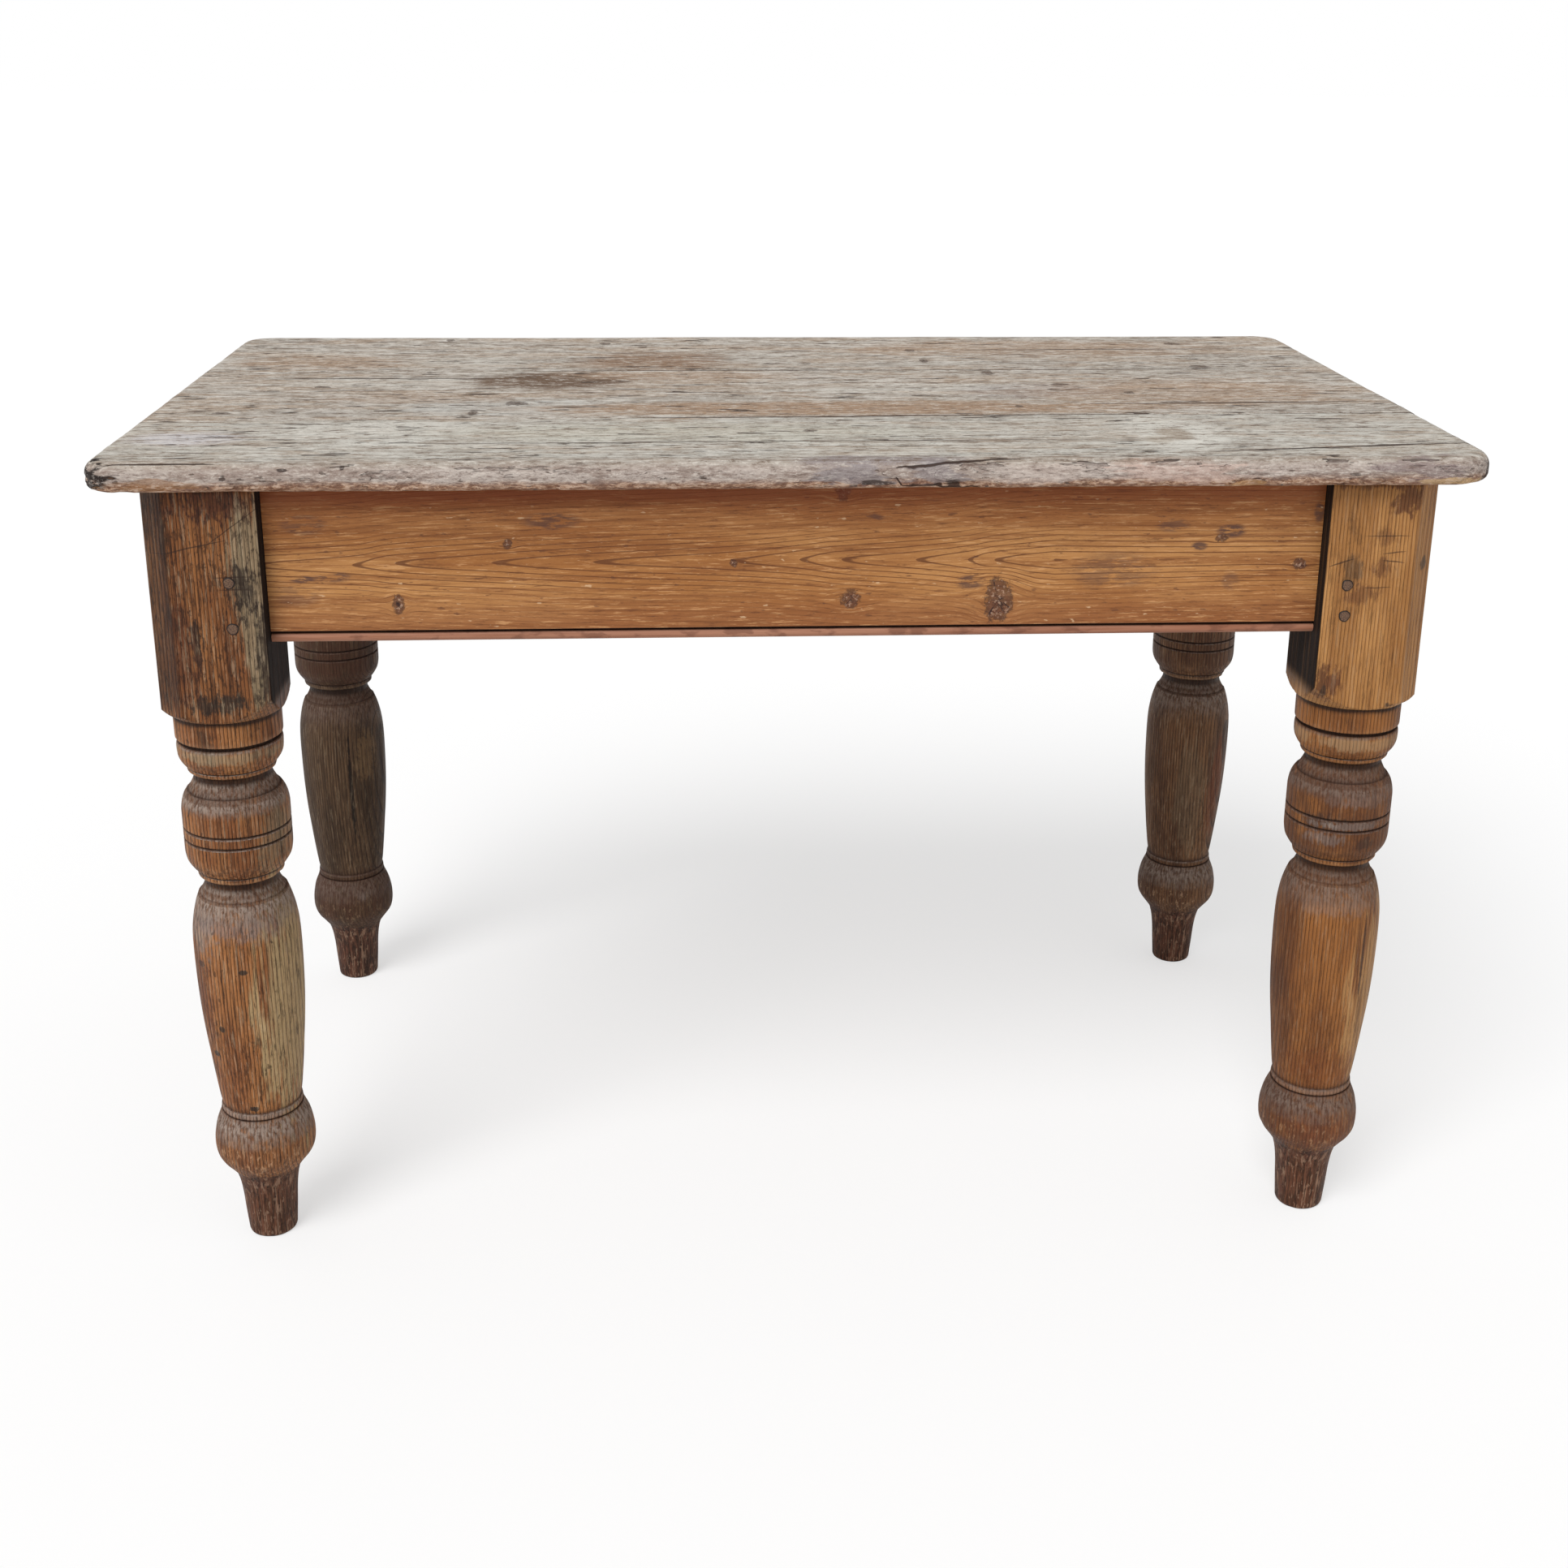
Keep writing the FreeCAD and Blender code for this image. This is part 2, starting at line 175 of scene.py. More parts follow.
def new_material(name):
    material = bpy.data.materials.new(name)
    material.use_nodes = True
    material.node_tree.nodes.clear()
    return material, Nodes(material.node_tree)


pale_floor, nodes = new_material("pale_floor")
seen = nodes.times(nodes.add("LightPath", {}, "Is Camera Ray"), 0.5)
bare = nodes.add("BsdfDiffuse", {"Color": (0.86, 0.86, 0.86, 1.0)})
glow = nodes.add("Emission", {"Color": (1.0, 1.0, 1.0, 1.0), "Strength": 1.1})
nodes.end(nodes.add("MixShader", {0: seen, 1: bare, 2: glow}))
floor_reach = 30.0
floor_mesh = bpy.data.meshes.new("floor")
floor_corners = [(x * floor_reach, y * floor_reach, 0) for x, y in ((-1, -1), (1, -1), (1, 1), (-1, 1))]
floor_mesh.from_pydata(floor_corners, [], [(0, 1, 2, 3)])
floor_mesh.materials.append(pale_floor)
floor = bpy.data.objects.new("floor", floor_mesh)
bpy.context.collection.objects.link(floor)

sky = bpy.data.worlds.new("sky")
sky.use_nodes = True
sky.node_tree.nodes.clear()
nodes = Nodes(sky.node_tree)
shown = nodes.most(*(nodes.add("LightPath", {}, ray) for ray in ("Is Camera Ray", "Is Transmission Ray")))
sky_strength = nodes.add("MapRange", {0: shown, 1: 0.0, 2: 1.0, 3: 0.52, 4: 1.0})
nodes.end(nodes.add("Background", {"Color": (1.0, 1.0, 1.0, 1.0), "Strength": sky_strength}), "World")
bpy.context.scene.world = sky

lamp_data = bpy.data.lights.new("lamp", "SUN")
lamp_data.angle = math.radians(34.0)
lamp_data.energy = 2.3
lamp_place = np.array([-1.2, -1.9, 3.0])
lamp_back = lamp_place - np.array([0.0, 0.0, 0.45])
lamp_back /= np.linalg.norm(lamp_back)
lamp_right = np.cross((0.0, 0.0, 1.0), lamp_back)
lamp_right /= np.linalg.norm(lamp_right)
stand("lamp", lamp_data, lamp_place, lamp_right, np.cross(lamp_back, lamp_right), lamp_back)


# Top: three wide pine boards, laid side by side with open seams and rounded along the outer edge.
# Years of scrubbing and weather have bleached them grey, opened their grain and nibbled the edge.
top_length, top_depth = 1.195, 0.69
top_level, under_level = 0.77, 0.745
seam_gap = 0.0006
nose_radius, nose_foot = 0.012, 0.007
rim_width, rim_belly = 0.013, 0.7585
rub_reach, rub_depth = 0.003, 0.001
corner_radii = {(-1, -1): 0.032, (1, -1): 0.042, (-1, 1): 0.035, (1, 1): 0.035}
groove_low, groove_high, groove_depth, groove_end = 0.7543, 0.7607, 0.0102, 0.5527


def soft_noise(points, cells, seed):
    """Noise from -1 to 1: random numbers at the corners of a lattice, joined by smooth steps."""
    table = np.random.default_rng(seed).uniform(-1, 1, (32, 32, 32))
    places = points / np.asarray(cells)
    base = np.floor(places).astype(int)
    share = places - base
    share = share * share * (3 - 2 * share)
    total = np.zeros(points.shape[:-1])
    for corner in np.ndindex(2, 2, 2):
        weight = np.prod(np.where(np.array(corner) == 1, share, 1 - share), axis=-1)
        index = (base + np.array(corner)) % 32
        total += weight * table[index[..., 0], index[..., 1], index[..., 2]]
    return total


def corner_radius(x, y):
    """The radius of the rounded corner that lies in the same quarter of the top as the point."""
    left = np.where(y < 0, corner_radii[-1, -1], corner_radii[-1, 1])
    right = np.where(y < 0, corner_radii[1, -1], corner_radii[1, 1])
    return np.where(x < 0, left, right)


def inset(x, y):
    """How far a point is inside the top's outline, a rectangle with rounded corners."""
    radius = corner_radius(x, y)
    past_x = np.abs(x) - top_length / 2 + radius
    past_y = np.abs(y) - top_depth / 2 + radius
    outside = np.hypot(np.maximum(past_x, 0), np.maximum(past_y, 0))
    return radius - outside - np.minimum(np.maximum(past_x, past_y), 0)


def long_edge(x, way):
    """Y of the top's front edge (way -1) or back edge (way 1): straight, with a quarter circle at each end.

    Near an end the circle gives the square root of the radius squared minus what is left of it squared.
    """
    radius = corner_radius(x, np.full_like(x, way))
    from_end = np.clip(top_length / 2 - np.abs(x), 0, radius)
    return way * (top_depth / 2 - radius + np.sqrt(radius ** 2 - (radius - from_end) ** 2))


def front_seam(x):
    """Y of the front seam, a straight line that isn't quite square to the ends."""
    return -0.157 + 0.02 * (x / top_length + 0.5)


def back_seam(x):
    """Y of the back seam, a straight line along the top."""
    return np.full_like(x, 0.108)


def crowded(reach, count, middle_step, length):
    """Places from 0 to the length: crowded towards both ends within the reach, and evenly spaced between."""
    end = reach * np.linspace(0, 1, count) ** 2
    middle = np.linspace(reach, length - reach, int(length / middle_step))
    return np.concatenate([end[:-1], middle, (length - end[::-1])[1:]])


def ring_faces(count, around, start=0):
    """Quads between rings of points, which are numbered ring by ring from the start."""
    numbers = start + np.arange(count * around).reshape(count, around)
    following = np.roll(numbers, -1, axis=1)
    quads = np.stack([numbers[:-1], following[:-1], following[1:], numbers[1:]], axis=-1)
    return quads.reshape(-1, 4).tolist()


def solid(name, points, faces):
    """A piece with a smooth closed mesh whose faces look outwards."""
    mesh = bpy.data.meshes.new(name)
    mesh.from_pydata(points.reshape(-1, 3).tolist(), [], faces)
    shell = bmesh.new()
    shell.from_mesh(mesh)
    bmesh.ops.recalc_face_normals(shell, faces=shell.faces)
    shell.to_mesh(mesh)
    shell.free()
    mesh.shade_smooth()
    piece = bpy.data.objects.new(name, mesh)
    bpy.context.collection.objects.link(piece)
    return piece


def board(name, front_line, back_line, front_open, back_open, seed, bites=()):
    """One board: an upper and a lower sheet on the same plan grid, joined by upright rows at both long sides.

    Near the outline the upper sheet drops along a quarter circle and the lower one rises along a smaller one.
    At an open seam the upright rows run into the groove for the tongue. Noise only ever takes wood away, and
    each bite, a place along X with its half width and depth, takes a bell-shaped piece out of the lower edge.
    """
    x = crowded(0.046, 15, 0.0045, top_length) - top_length / 2
    low, high = front_line(x), back_line(x)
    share = crowded(0.07, 10, 0.018, 1.0)
    plan_x = np.broadcast_to(x[:, None], (len(x), len(share)))
    plan_y = low[:, None] + (high - low)[:, None] * share
    depth = np.clip(inset(plan_x, plan_y), 0, None)
    drop = nose_radius - np.sqrt(nose_radius ** 2 - np.clip(nose_radius - depth, 0, nose_radius) ** 2)
    rise = nose_foot - np.sqrt(nose_foot ** 2 - np.clip(nose_foot - depth, 0, nose_foot) ** 2)
    for line, is_open in ((low, front_open), (high, back_open)):
        if is_open:
            rubbed = np.clip(1 - np.abs(plan_y - line[:, None]) / rub_reach, 0, 1) ** 2
            drop = np.maximum(drop, rub_depth * rubbed)
    flat = np.stack([plan_x, plan_y, np.zeros_like(plan_x)], axis=-1)
    waves = 0.0004 * (1 + soft_noise(flat, (0.3, 0.09, 1.0), seed))
    waves += 0.00022 * (1 + soft_noise(flat, (0.1, 0.012, 1.0), seed + 1))
    upper = np.stack([plan_x, plan_y, top_level - drop - waves], axis=-1)
    lower = np.stack([plan_x, plan_y, under_level + rise], axis=-1)

    cut = groove_depth * (np.abs(x) < groove_end)

    def side_rows(number, is_open, way):
        """Upright rows between the two sheets, with the tongue's groove where the seam is open."""
        first, last = upper[:, number], lower[:, number]
        if not is_open:
            shares = np.linspace(0, 1, 5)[1:-1]
            return first[:, None] + (last - first)[:, None] * shares[:, None]
        tops = first[:, 2:] + (groove_high - first[:, 2:]) * np.array([0.35, 1.0])
        bottoms = groove_low + (last[:, 2:] - groove_low) * np.array([0.0, 0.65])
        height = np.concatenate([tops, np.full((len(x), 1), groove_high), np.full((len(x), 1), groove_low),
                                 bottoms], axis=1)
        inwards = np.array([0.0, 0.0, 1.0, 1.0, 0.0, 0.0]) * cut[:, None]
        across = first[:, 1:2] - way * inwards
        return np.stack([np.broadcast_to(x[:, None], height.shape), across, height], axis=-1)

    back_rows = side_rows(-1, back_open, 1)
    front_rows = side_rows(0, front_open, -1)
    rings = np.concatenate([upper, back_rows, lower[:, ::-1], front_rows[:, ::-1]], axis=1)

    place_x, place_y, place_z = rings[..., 0], rings[..., 1], rings[..., 2]
    tiny = 1e-5
    out_x = inset(place_x - tiny, place_y) - inset(place_x + tiny, place_y)
    out_y = inset(place_x, place_y - tiny) - inset(place_x, place_y + tiny)
    length = np.hypot(out_x, out_y) + 1e-12
    near = np.clip(1 - inset(place_x, place_y) / rim_width, 0, 1)
    below = np.clip((rim_belly - place_z) / 0.009, 0, 1)
    gnawed = np.clip(soft_noise(rings, (0.011, 0.011, 0.006), seed + 2) + 0.15, 0, None)
    fine = np.clip(soft_noise(rings, (0.004, 0.004, 0.003), seed + 3), 0, None)
    long_wear = 1 + soft_noise(rings, (0.07, 0.07, 0.05), seed + 4)
    worn = near * (0.0006 * long_wear + below * (0.0032 * gnawed + 0.001 * fine) + 0.0004 * fine)
    for centre, half_width, deep in bites:
        worn += near * below * deep * np.exp(-((place_x - centre) / half_width) ** 2)
    rings[..., 0] -= worn * out_x / length
    rings[..., 1] -= worn * out_y / length
    rings[..., 2] += below * near * 0.0008 * gnawed

    count, around = rings.shape[:2]
    across, backs, fronts = len(share), back_rows.shape[1], front_rows.shape[1]
    caps = []
    for start in (0, (count - 1) * around):
        top = list(range(start, start + across))
        back = list(range(start + across, start + across + backs))
        under = list(range(start + across + backs, start + across + backs + across))[::-1]
        front = list(range(start + around - fronts, start + around))[::-1]
        for number in range(1, across - 2):
            caps.append([top[number], top[number + 1], under[number + 1], under[number]])
        caps.append([top[1], top[0]] + front + [under[0], under[1]])
        caps.append([top[-2], top[-1]] + back + [under[-1], under[-2]])
    return solid(name, rings, ring_faces(count, around) + caps)


def new_group(name, inputs, outputs):
    """A shader node group with named sockets, given as the kind of socket and its names."""
    group = bpy.data.node_groups.new(name, "ShaderNodeTree")
    for in_out, sockets in (("INPUT", inputs), ("OUTPUT", outputs)):
        for kind, names in sockets:
            for socket in names.split():
                group.interface.new_socket(name=socket, in_out=in_out, socket_type="NodeSocket" + kind)
    entry = group.nodes.new("NodeGroupInput").outputs
    leave = group.nodes.new("NodeGroupOutput").inputs
    return group, Nodes(group), entry, leave


# Pine grain in a board's own directions: X along the grain, Y across it and Z out of its face. The tree's
# heart is a line beside the board that comes nearest at the place Heart and leans away from there. Point, 0
# to 1, turns the rounded ends of the rings into the pointed arches of a board sawn close to the heart.
pine_grain, nodes, entry, leave = new_group(
    "pine_grain", [("Vector", "Vector Heart"), ("Float", "Lean Ring Wander Point")], [("Float", "Latewood")])
drift = nodes.minus(nodes.noise(entry["Vector"], (2.2, 9.0, 9.0), 2.0), 0.5)
bend = nodes.minus(nodes.noise(entry["Vector"], (9.0, 40.0, 40.0), 2.0), 0.5)
sway = nodes.plus(nodes.times(drift, entry["Wander"]), nodes.times(bend, entry["Wander"], 0.16))
place = nodes.vector("SUBTRACT", entry["Vector"], entry["Heart"])
across = nodes.plus(nodes.part(place, "Y"), sway)
off_heart = nodes.most(nodes.times(nodes.part(place, "X"), -1.0), nodes.times(nodes.part(place, "X"), 0.15))
away = nodes.plus(nodes.part(place, "Z"), nodes.times(off_heart, entry["Lean"]))
rounded = nodes.vector("LENGTH", nodes.join(0.0, across, away))
pointed = nodes.plus(nodes.vector("LENGTH", nodes.join(0.0, nodes.times(across, 0.72), 0.0034)), away)
from_heart = nodes.add("Mix", {0: entry["Point"], 2: rounded, 3: pointed}, 0, data_type="FLOAT")
ring = nodes.math("FRACT", nodes.math("DIVIDE", from_heart, entry["Ring"]))
rising = nodes.most(nodes.times(nodes.step(ring, 0.05, 0.8), 0.42), nodes.step(ring, 0.62, 0.88))
nodes.tree.links.new(nodes.times(rising, nodes.step(ring, 0.95, 1.0, 1.0, 0.0)), leave["Latewood"])

# A knot: its own close rings round a dark middle, a dark rim, and a push that bends the grain round it.
knot, nodes, entry, leave = new_group(
    "knot", [("Vector", "Vector Place Radii")], [("Vector", "Push"), ("Float", "Core Dark")])
offset = nodes.vector("SUBTRACT", entry["Vector"], entry["Place"])
local = nodes.vector("DIVIDE", offset, entry["Radii"])
flat_place = nodes.join(nodes.part(local, "X"), nodes.part(local, "Y"), 0.0)
rough = nodes.noise(entry["Vector"], 190.0, 4.0, 0.7)
distance = nodes.minus(nodes.plus(nodes.vector("LENGTH", flat_place), nodes.times(rough, 2.1)), 1.05)
core = nodes.step(distance, 0.6, 1.1, 1.0, 0.0)
middle = nodes.step(distance, 0.0, 0.35, 1.0, 0.0)
rim = nodes.times(nodes.step(distance, 0.62, 0.86), nodes.step(distance, 0.9, 1.2, 1.0, 0.0), 0.6)
bearing = nodes.math("ARCTAN2", nodes.part(local, "Y"), nodes.part(local, "X"))
spokes = nodes.noise(nodes.join(bearing, nodes.times(distance, 0.35), 0.0), 2.6, 2.0)
close_rings = nodes.step(nodes.math("FRACT", nodes.times(distance, 2.6)), 0.45, 0.9)
dark = nodes.most(rim, middle, nodes.times(nodes.step(spokes, 0.56, 0.64), core),
                  nodes.times(core, close_rings, 0.5))
spread = nodes.vector("LENGTH", nodes.vector("MULTIPLY", flat_place, (0.28, 0.55, 0.0)))
pull = nodes.step(spread, 0.0, 1.0, -0.85, 0.0)
push = nodes.join(0.0, nodes.times(nodes.part(offset, "Y"), pull), 0.0)
for label, value in (("Push", push), ("Core", core), ("Dark", dark)):
    nodes.tree.links.new(value, leave[label])

# An open crack along a slanting line: dark where it is open, ragged at its edges, narrowing to both ends.
crack, nodes, entry, leave = new_group(
    "crack", [("Vector", "Vector Middle"), ("Float", "Lean Reach Width Ragged")], [("Float", "Open")])
offset = nodes.vector("SUBTRACT", entry["Vector"], entry["Middle"])
along = nodes.part(offset, "X")
wobble = nodes.times(nodes.minus(nodes.noise(entry["Vector"], (34.0, 3.0, 0.0)), 0.5), entry["Ragged"])
line = nodes.plus(nodes.times(along, entry["Lean"]), wobble)
off_line = nodes.math("ABSOLUTE", nodes.minus(nodes.part(offset, "Y"), line))
taper = nodes.most(nodes.minus(1.0, nodes.math("DIVIDE", nodes.math("ABSOLUTE", along), entry["Reach"])), 0.0)
width = nodes.times(entry["Width"], nodes.math("POWER", taper, 0.4))
ratio = nodes.math("DIVIDE", off_line, nodes.most(width, 0.00002))
nodes.tree.links.new(nodes.step(ratio, 0.45, 1.0, 1.0, 0.0), leave["Open"])


def add_knots(nodes, place, knots):
    """Adds knots, each a place and its reach both ways. Gives back the bent place and two masks."""
    bent, cores, darks = place, [], []
    for x, y, reach_x, reach_y in knots:
        outputs = nodes.group(knot, Vector=place, Place=(x, y, 0.0), Radii=(reach_x, reach_y, 1.0))
        bent = nodes.vector("ADD", bent, outputs["Push"])
        cores.append(outputs["Core"])
        darks.append(outputs["Dark"])
    return bent, nodes.most(*cores), nodes.most(*darks)


def add_crack(nodes, place, x, y, lean, reach, width, ragged):
    """Adds a crack through a place and gives back its mask, 1 where it is open."""
    outputs = nodes.group(crack, Vector=place, Middle=(x, y, 0.0), Lean=lean, Reach=reach, Width=width,
                          Ragged=ragged)
    return outputs["Open"]


def scrubbed_pine(name, shift, heart, grey, knots, stains, pale_patches, rim_marks, cracks):
    """Bleached board: streaks of grey, beige and tan along the grain, short dark checks, and its own marks.

    The outer edge, below the flat, is pinkish grey above and brown below. A knot is a place and its
    reach each way. The other marks add a share and a tint, and a crack is what the group of that name takes.
    """
    material, nodes = new_material(name)
    place = nodes.add("TexCoord", {}, "Object")
    shifted = nodes.vector("ADD", place, shift)
    bent, cores, darks = add_knots(nodes, place, knots)
    bent = nodes.vector("ADD", bent, shift)
    grain = nodes.group(pine_grain, Vector=bent, Heart=heart, Lean=0.045, Ring=0.0075, Wander=0.03)
    latewood = grain["Latewood"]
    broad = nodes.noise(shifted, (3.0, 20.0, 11.0), 3.0, 0.6, 0.5)
    streak = nodes.noise(bent, (21.0, 100.0, 40.0), 6.0, 0.8)
    hair = nodes.noise(bent, (75.0, 240.0, 150.0), 4.0, 0.82)
    tan_place = nodes.noise(shifted, (4.6, 30.0, 9.0), 5.0, 0.7, 0.6)
    cloud = nodes.noise(shifted, (62.0, 90.0, 60.0), 5.0, 0.8, 0.6)

    colour = nodes.mix(nodes.step(streak, 0.42, 0.58), (150, 136, 122), (214, 207, 198))
    colour = nodes.layers(colour, [
        (broad, 0.44, 0.62, 0.45, (162, 153, 143)), (tan_place, 0.48, 0.58, 0.62, (178, 151, 126)),
        (cloud, 0.5, 0.62, 0.42, (136, 122, 108)), (cloud, 0.5, 0.38, 0.46, (220, 217, 209)),
        (streak, 0.3, 0.58, grey, (200, 200, 192))])
    pale_grain, dark_grain = nodes.step(streak, 0.25, 0.55), nodes.step(streak, 0.62, 0.42, 0.35, 1.0)
    for rows, ragged, full in ((pale_patches, pale_grain, 0.5), (stains, dark_grain, 0.42)):
        for x, y, reach_x, reach_y, share, tint in rows:
            patch = nodes.times(nodes.spot(place, (x, y, top_level), (reach_x, reach_y, 0.05)), ragged)
            colour = nodes.layers(colour, [(patch, 0.0, full, share, tint)])
    colour = nodes.lay(colour, (124, 104, 86), latewood, 0.42)
    colour = nodes.layers(colour, [
        (hair, 0.54, 0.61, 0.78, (112, 94, 79)), (hair, 0.46, 0.38, 0.6, (222, 216, 206))])

    check_field = nodes.noise(bent, (19.0, 118.0, 100.0), 3.0, 0.6)
    check_zone = nodes.noise(shifted, (6.0, 22.0, 9.0), 2.0)
    check_zone = nodes.minus(check_zone, nodes.times(nodes.part(place, "X"), 0.1))
    checks = nodes.times(nodes.step(check_field, 0.616, 0.636), nodes.step(check_zone, 0.4, 0.5))
    colour = nodes.lay(colour, (66, 53, 46), checks, 0.92)
    inputs = {"Vector": place, "Rotation": (0.0, 0.0, math.radians(68.0)), "Scale": (9.0, 330.0, 9.0)}
    scratches = nodes.step(nodes.noise(nodes.add("Mapping", inputs), 1.0, 1.0), 0.7, 0.74)
    scratched = nodes.step(nodes.noise(shifted, 4.6, 1.0), 0.5, 0.62)
    colour = nodes.lay(colour, (222, 212, 196), scratches, scratched, 0.6)

    level = nodes.part(place, "Z")
    flecks = nodes.noise(place, (110.0, 380.0, 420.0), 4.0, 0.8)
    patches = nodes.noise(place, (24.0, 60.0, 150.0), 4.0, 0.65)
    uneven = nodes.plus(level, nodes.times(nodes.minus(patches, 0.5), 0.007))
    rim = nodes.step(uneven, 0.769, 0.762)
    rim_colour = nodes.mix(nodes.step(patches, 0.38, 0.62), (160, 142, 132), (192, 178, 169))
    rim_colour = nodes.layers(rim_colour, [
        (flecks, 0.53, 0.61, 0.46, (226, 216, 205)), (flecks, 0.46, 0.39, 0.42, (112, 90, 78))])
    low_colour = nodes.mix(nodes.step(flecks, 0.42, 0.6), (122, 78, 54), (194, 152, 120))
    rim_colour = nodes.mix(nodes.step(uneven, 0.7562, 0.7495), rim_colour, low_colour)
    nicks = nodes.step(nodes.noise(place, (60.0, 120.0, 170.0), 3.0, 0.6), 0.635, 0.67)
    rim_colour = nodes.lay(rim_colour, (66, 46, 38), nicks, rim, 0.85)
    colour = nodes.lay(colour, rim_colour, rim, 0.85)
    ragged = nodes.times(nodes.minus(patches, 0.5), 2.2)
    for x, y, z, reach_x, reach_y, reach_z, share, tint in rim_marks:
        spot = nodes.spot(place, (x, y, z), (reach_x, reach_y, reach_z))
        patch = nodes.step(nodes.plus(spot, ragged), 0.4, 0.6)
        colour = nodes.lay(colour, tint, patch, nodes.step(spot, 0.0, 0.1), share)
    colour = nodes.lay(colour, (224, 212, 202), nodes.step(flecks, 0.53, 0.6), rim, 0.28)
    colour = nodes.lay(colour, (88, 68, 60), nodes.step(flecks, 0.46, 0.4), rim, 0.26)

    opened = nodes.most(*(add_crack(nodes, place, *row) for row in cracks))
    colour = nodes.lay(colour, (104, 86, 74), cores, 0.66)
    colour = nodes.lay(colour, (50, 39, 34), darks, 0.92)
    colour = nodes.lay(colour, (56, 37, 29), opened, 0.92)

    bare = nodes.mix(nodes.step(streak, 0.35, 0.65), (150, 112, 78), (188, 150, 112))
    bare = nodes.lay(bare, (128, 86, 54), latewood, 0.5)
    colour = nodes.mix(nodes.step(level, 0.7458, 0.7452), colour, bare)

    relief = nodes.plus(nodes.times(latewood, 0.5), hair, nodes.times(streak, 0.8),
                        nodes.times(nodes.most(checks, opened), -2.4), nodes.times(flecks, rim, 2.0))
    roughness = nodes.add("MapRange", {0: streak, 1: 0.3, 2: 0.7, 3: 0.66, 4: 0.88})
    nodes.coat(colour, roughness, relief, 0.9, 0.0014, specular=0.2)
    return material


brown_stain, tan_stain = (102, 79, 61), (168, 136, 108)
cool_grey, pale_grey, black_rot = (142, 133, 134), (216, 213, 204), (62, 50, 45)
open_front_seam = [(0.0, -0.147, 0.01674, 0.75, 0.001, 0.0006),
                   (0.085, -0.1456, 0.01674, 0.27, 0.003, 0.0006)]
open_back_seam = [(0.0, 0.108, 0.0, 0.75, 0.0022, 0.0006)]
top_boards = [
    board("front_board", lambda x: long_edge(x, -1), lambda x: front_seam(x) - seam_gap / 2, False, True, 11,
          [(0.06, 0.016, 0.0035), (0.386, 0.009, 0.0045), (-0.464, 0.006, 0.0025), (0.125, 0.008, 0.0025)]),
    board("middle_board", lambda x: front_seam(x) + seam_gap / 2, lambda x: back_seam(x) - seam_gap / 2,
          True, True, 23),
    board("back_board", lambda x: back_seam(x) + seam_gap / 2, lambda x: long_edge(x, 1), True, False, 37),
]
front_finish = scrubbed_pine(
    "front_board_finish", (0.0, 0.0, 0.0), (0.05, -0.26, 0.742), 0.6,
    [(0.013, -0.215, 0.006, 0.006)],
    [(0.0, -0.34, 2.0, 0.018, 0.5, (158, 141, 128)), (0.338, -0.236, 0.021, 0.038, 0.7, (146, 127, 107)),
     (0.318, -0.262, 0.016, 0.024, 0.5, (160, 143, 122)), (0.037, -0.336, 0.055, 0.018, 0.8, cool_grey),
     (0.105, -0.336, 0.045, 0.016, 0.7, cool_grey), (0.3, -0.345, 0.07, 0.012, 0.5, (176, 146, 132))],
    [(-0.529, -0.238, 0.065, 0.04, 0.6, (206, 202, 208)), (-0.338, -0.27, 0.1, 0.02, 0.5, pale_grey),
     (-0.372, -0.2, 0.13, 0.05, 0.75, pale_grey), (0.338, -0.228, 0.056, 0.105, 0.95, pale_grey),
     (-0.1, -0.22, 0.3, 0.06, 0.5, (200, 198, 184))],
    [(0.04, -0.345, 0.757, 0.06, 0.03, 0.018, 0.7, cool_grey),
     (0.11, -0.345, 0.757, 0.05, 0.03, 0.018, 0.6, cool_grey),
     (0.06, -0.345, 0.75, 0.019, 0.03, 0.0045, 0.8, black_rot),
     (0.386, -0.345, 0.75, 0.011, 0.03, 0.0055, 0.9, (66, 38, 26)),
     (0.125, -0.345, 0.75, 0.012, 0.03, 0.004, 0.8, black_rot),
     (-0.478, -0.345, 0.758, 0.007, 0.03, 0.006, 0.8, black_rot),
     (-0.43, -0.343, 0.764, 0.009, 0.03, 0.0045, 0.9, black_rot),
     (-0.381, -0.343, 0.765, 0.005, 0.03, 0.0045, 0.9, black_rot),
     (0.53, -0.338, 0.758, 0.07, 0.04, 0.018, 0.5, (126, 107, 108)),
     (0.594, -0.315, 0.757, 0.014, 0.04, 0.012, 0.8, black_rot),
     (0.555, -0.34, 0.749, 0.05, 0.04, 0.006, 0.6, (212, 178, 130)),
     (0.375, -0.345, 0.748, 0.03, 0.03, 0.006, 0.6, (206, 160, 112)),
     (-0.594, -0.336, 0.7575, 0.044, 0.044, 0.019, 1.0, (40, 31, 27)),
     (-0.54, -0.345, 0.751, 0.06, 0.03, 0.01, 0.6, (150, 106, 66)),
     (0.59, -0.31, 0.75, 0.03, 0.04, 0.008, 0.8, black_rot),
     (0.33, -0.345, 0.757, 0.1, 0.03, 0.018, 0.5, (206, 176, 162)),
     (0.205, -0.345, 0.757, 0.05, 0.03, 0.018, 0.4, (206, 190, 180))],
    open_front_seam + [
        (0.475, -0.2955, 0.135, 0.125, 0.0026, 0.008), (0.518, -0.2885, 0.135, 0.03, 0.004, 0.002),
        (0.135, -0.339, 0.07, 0.058, 0.0013, 0.005), (-0.05, -0.262, 0.01, 0.32, 0.0016, 0.007),
        (-0.53, -0.3375, 0.0, 0.046, 0.0012, 0.002)])
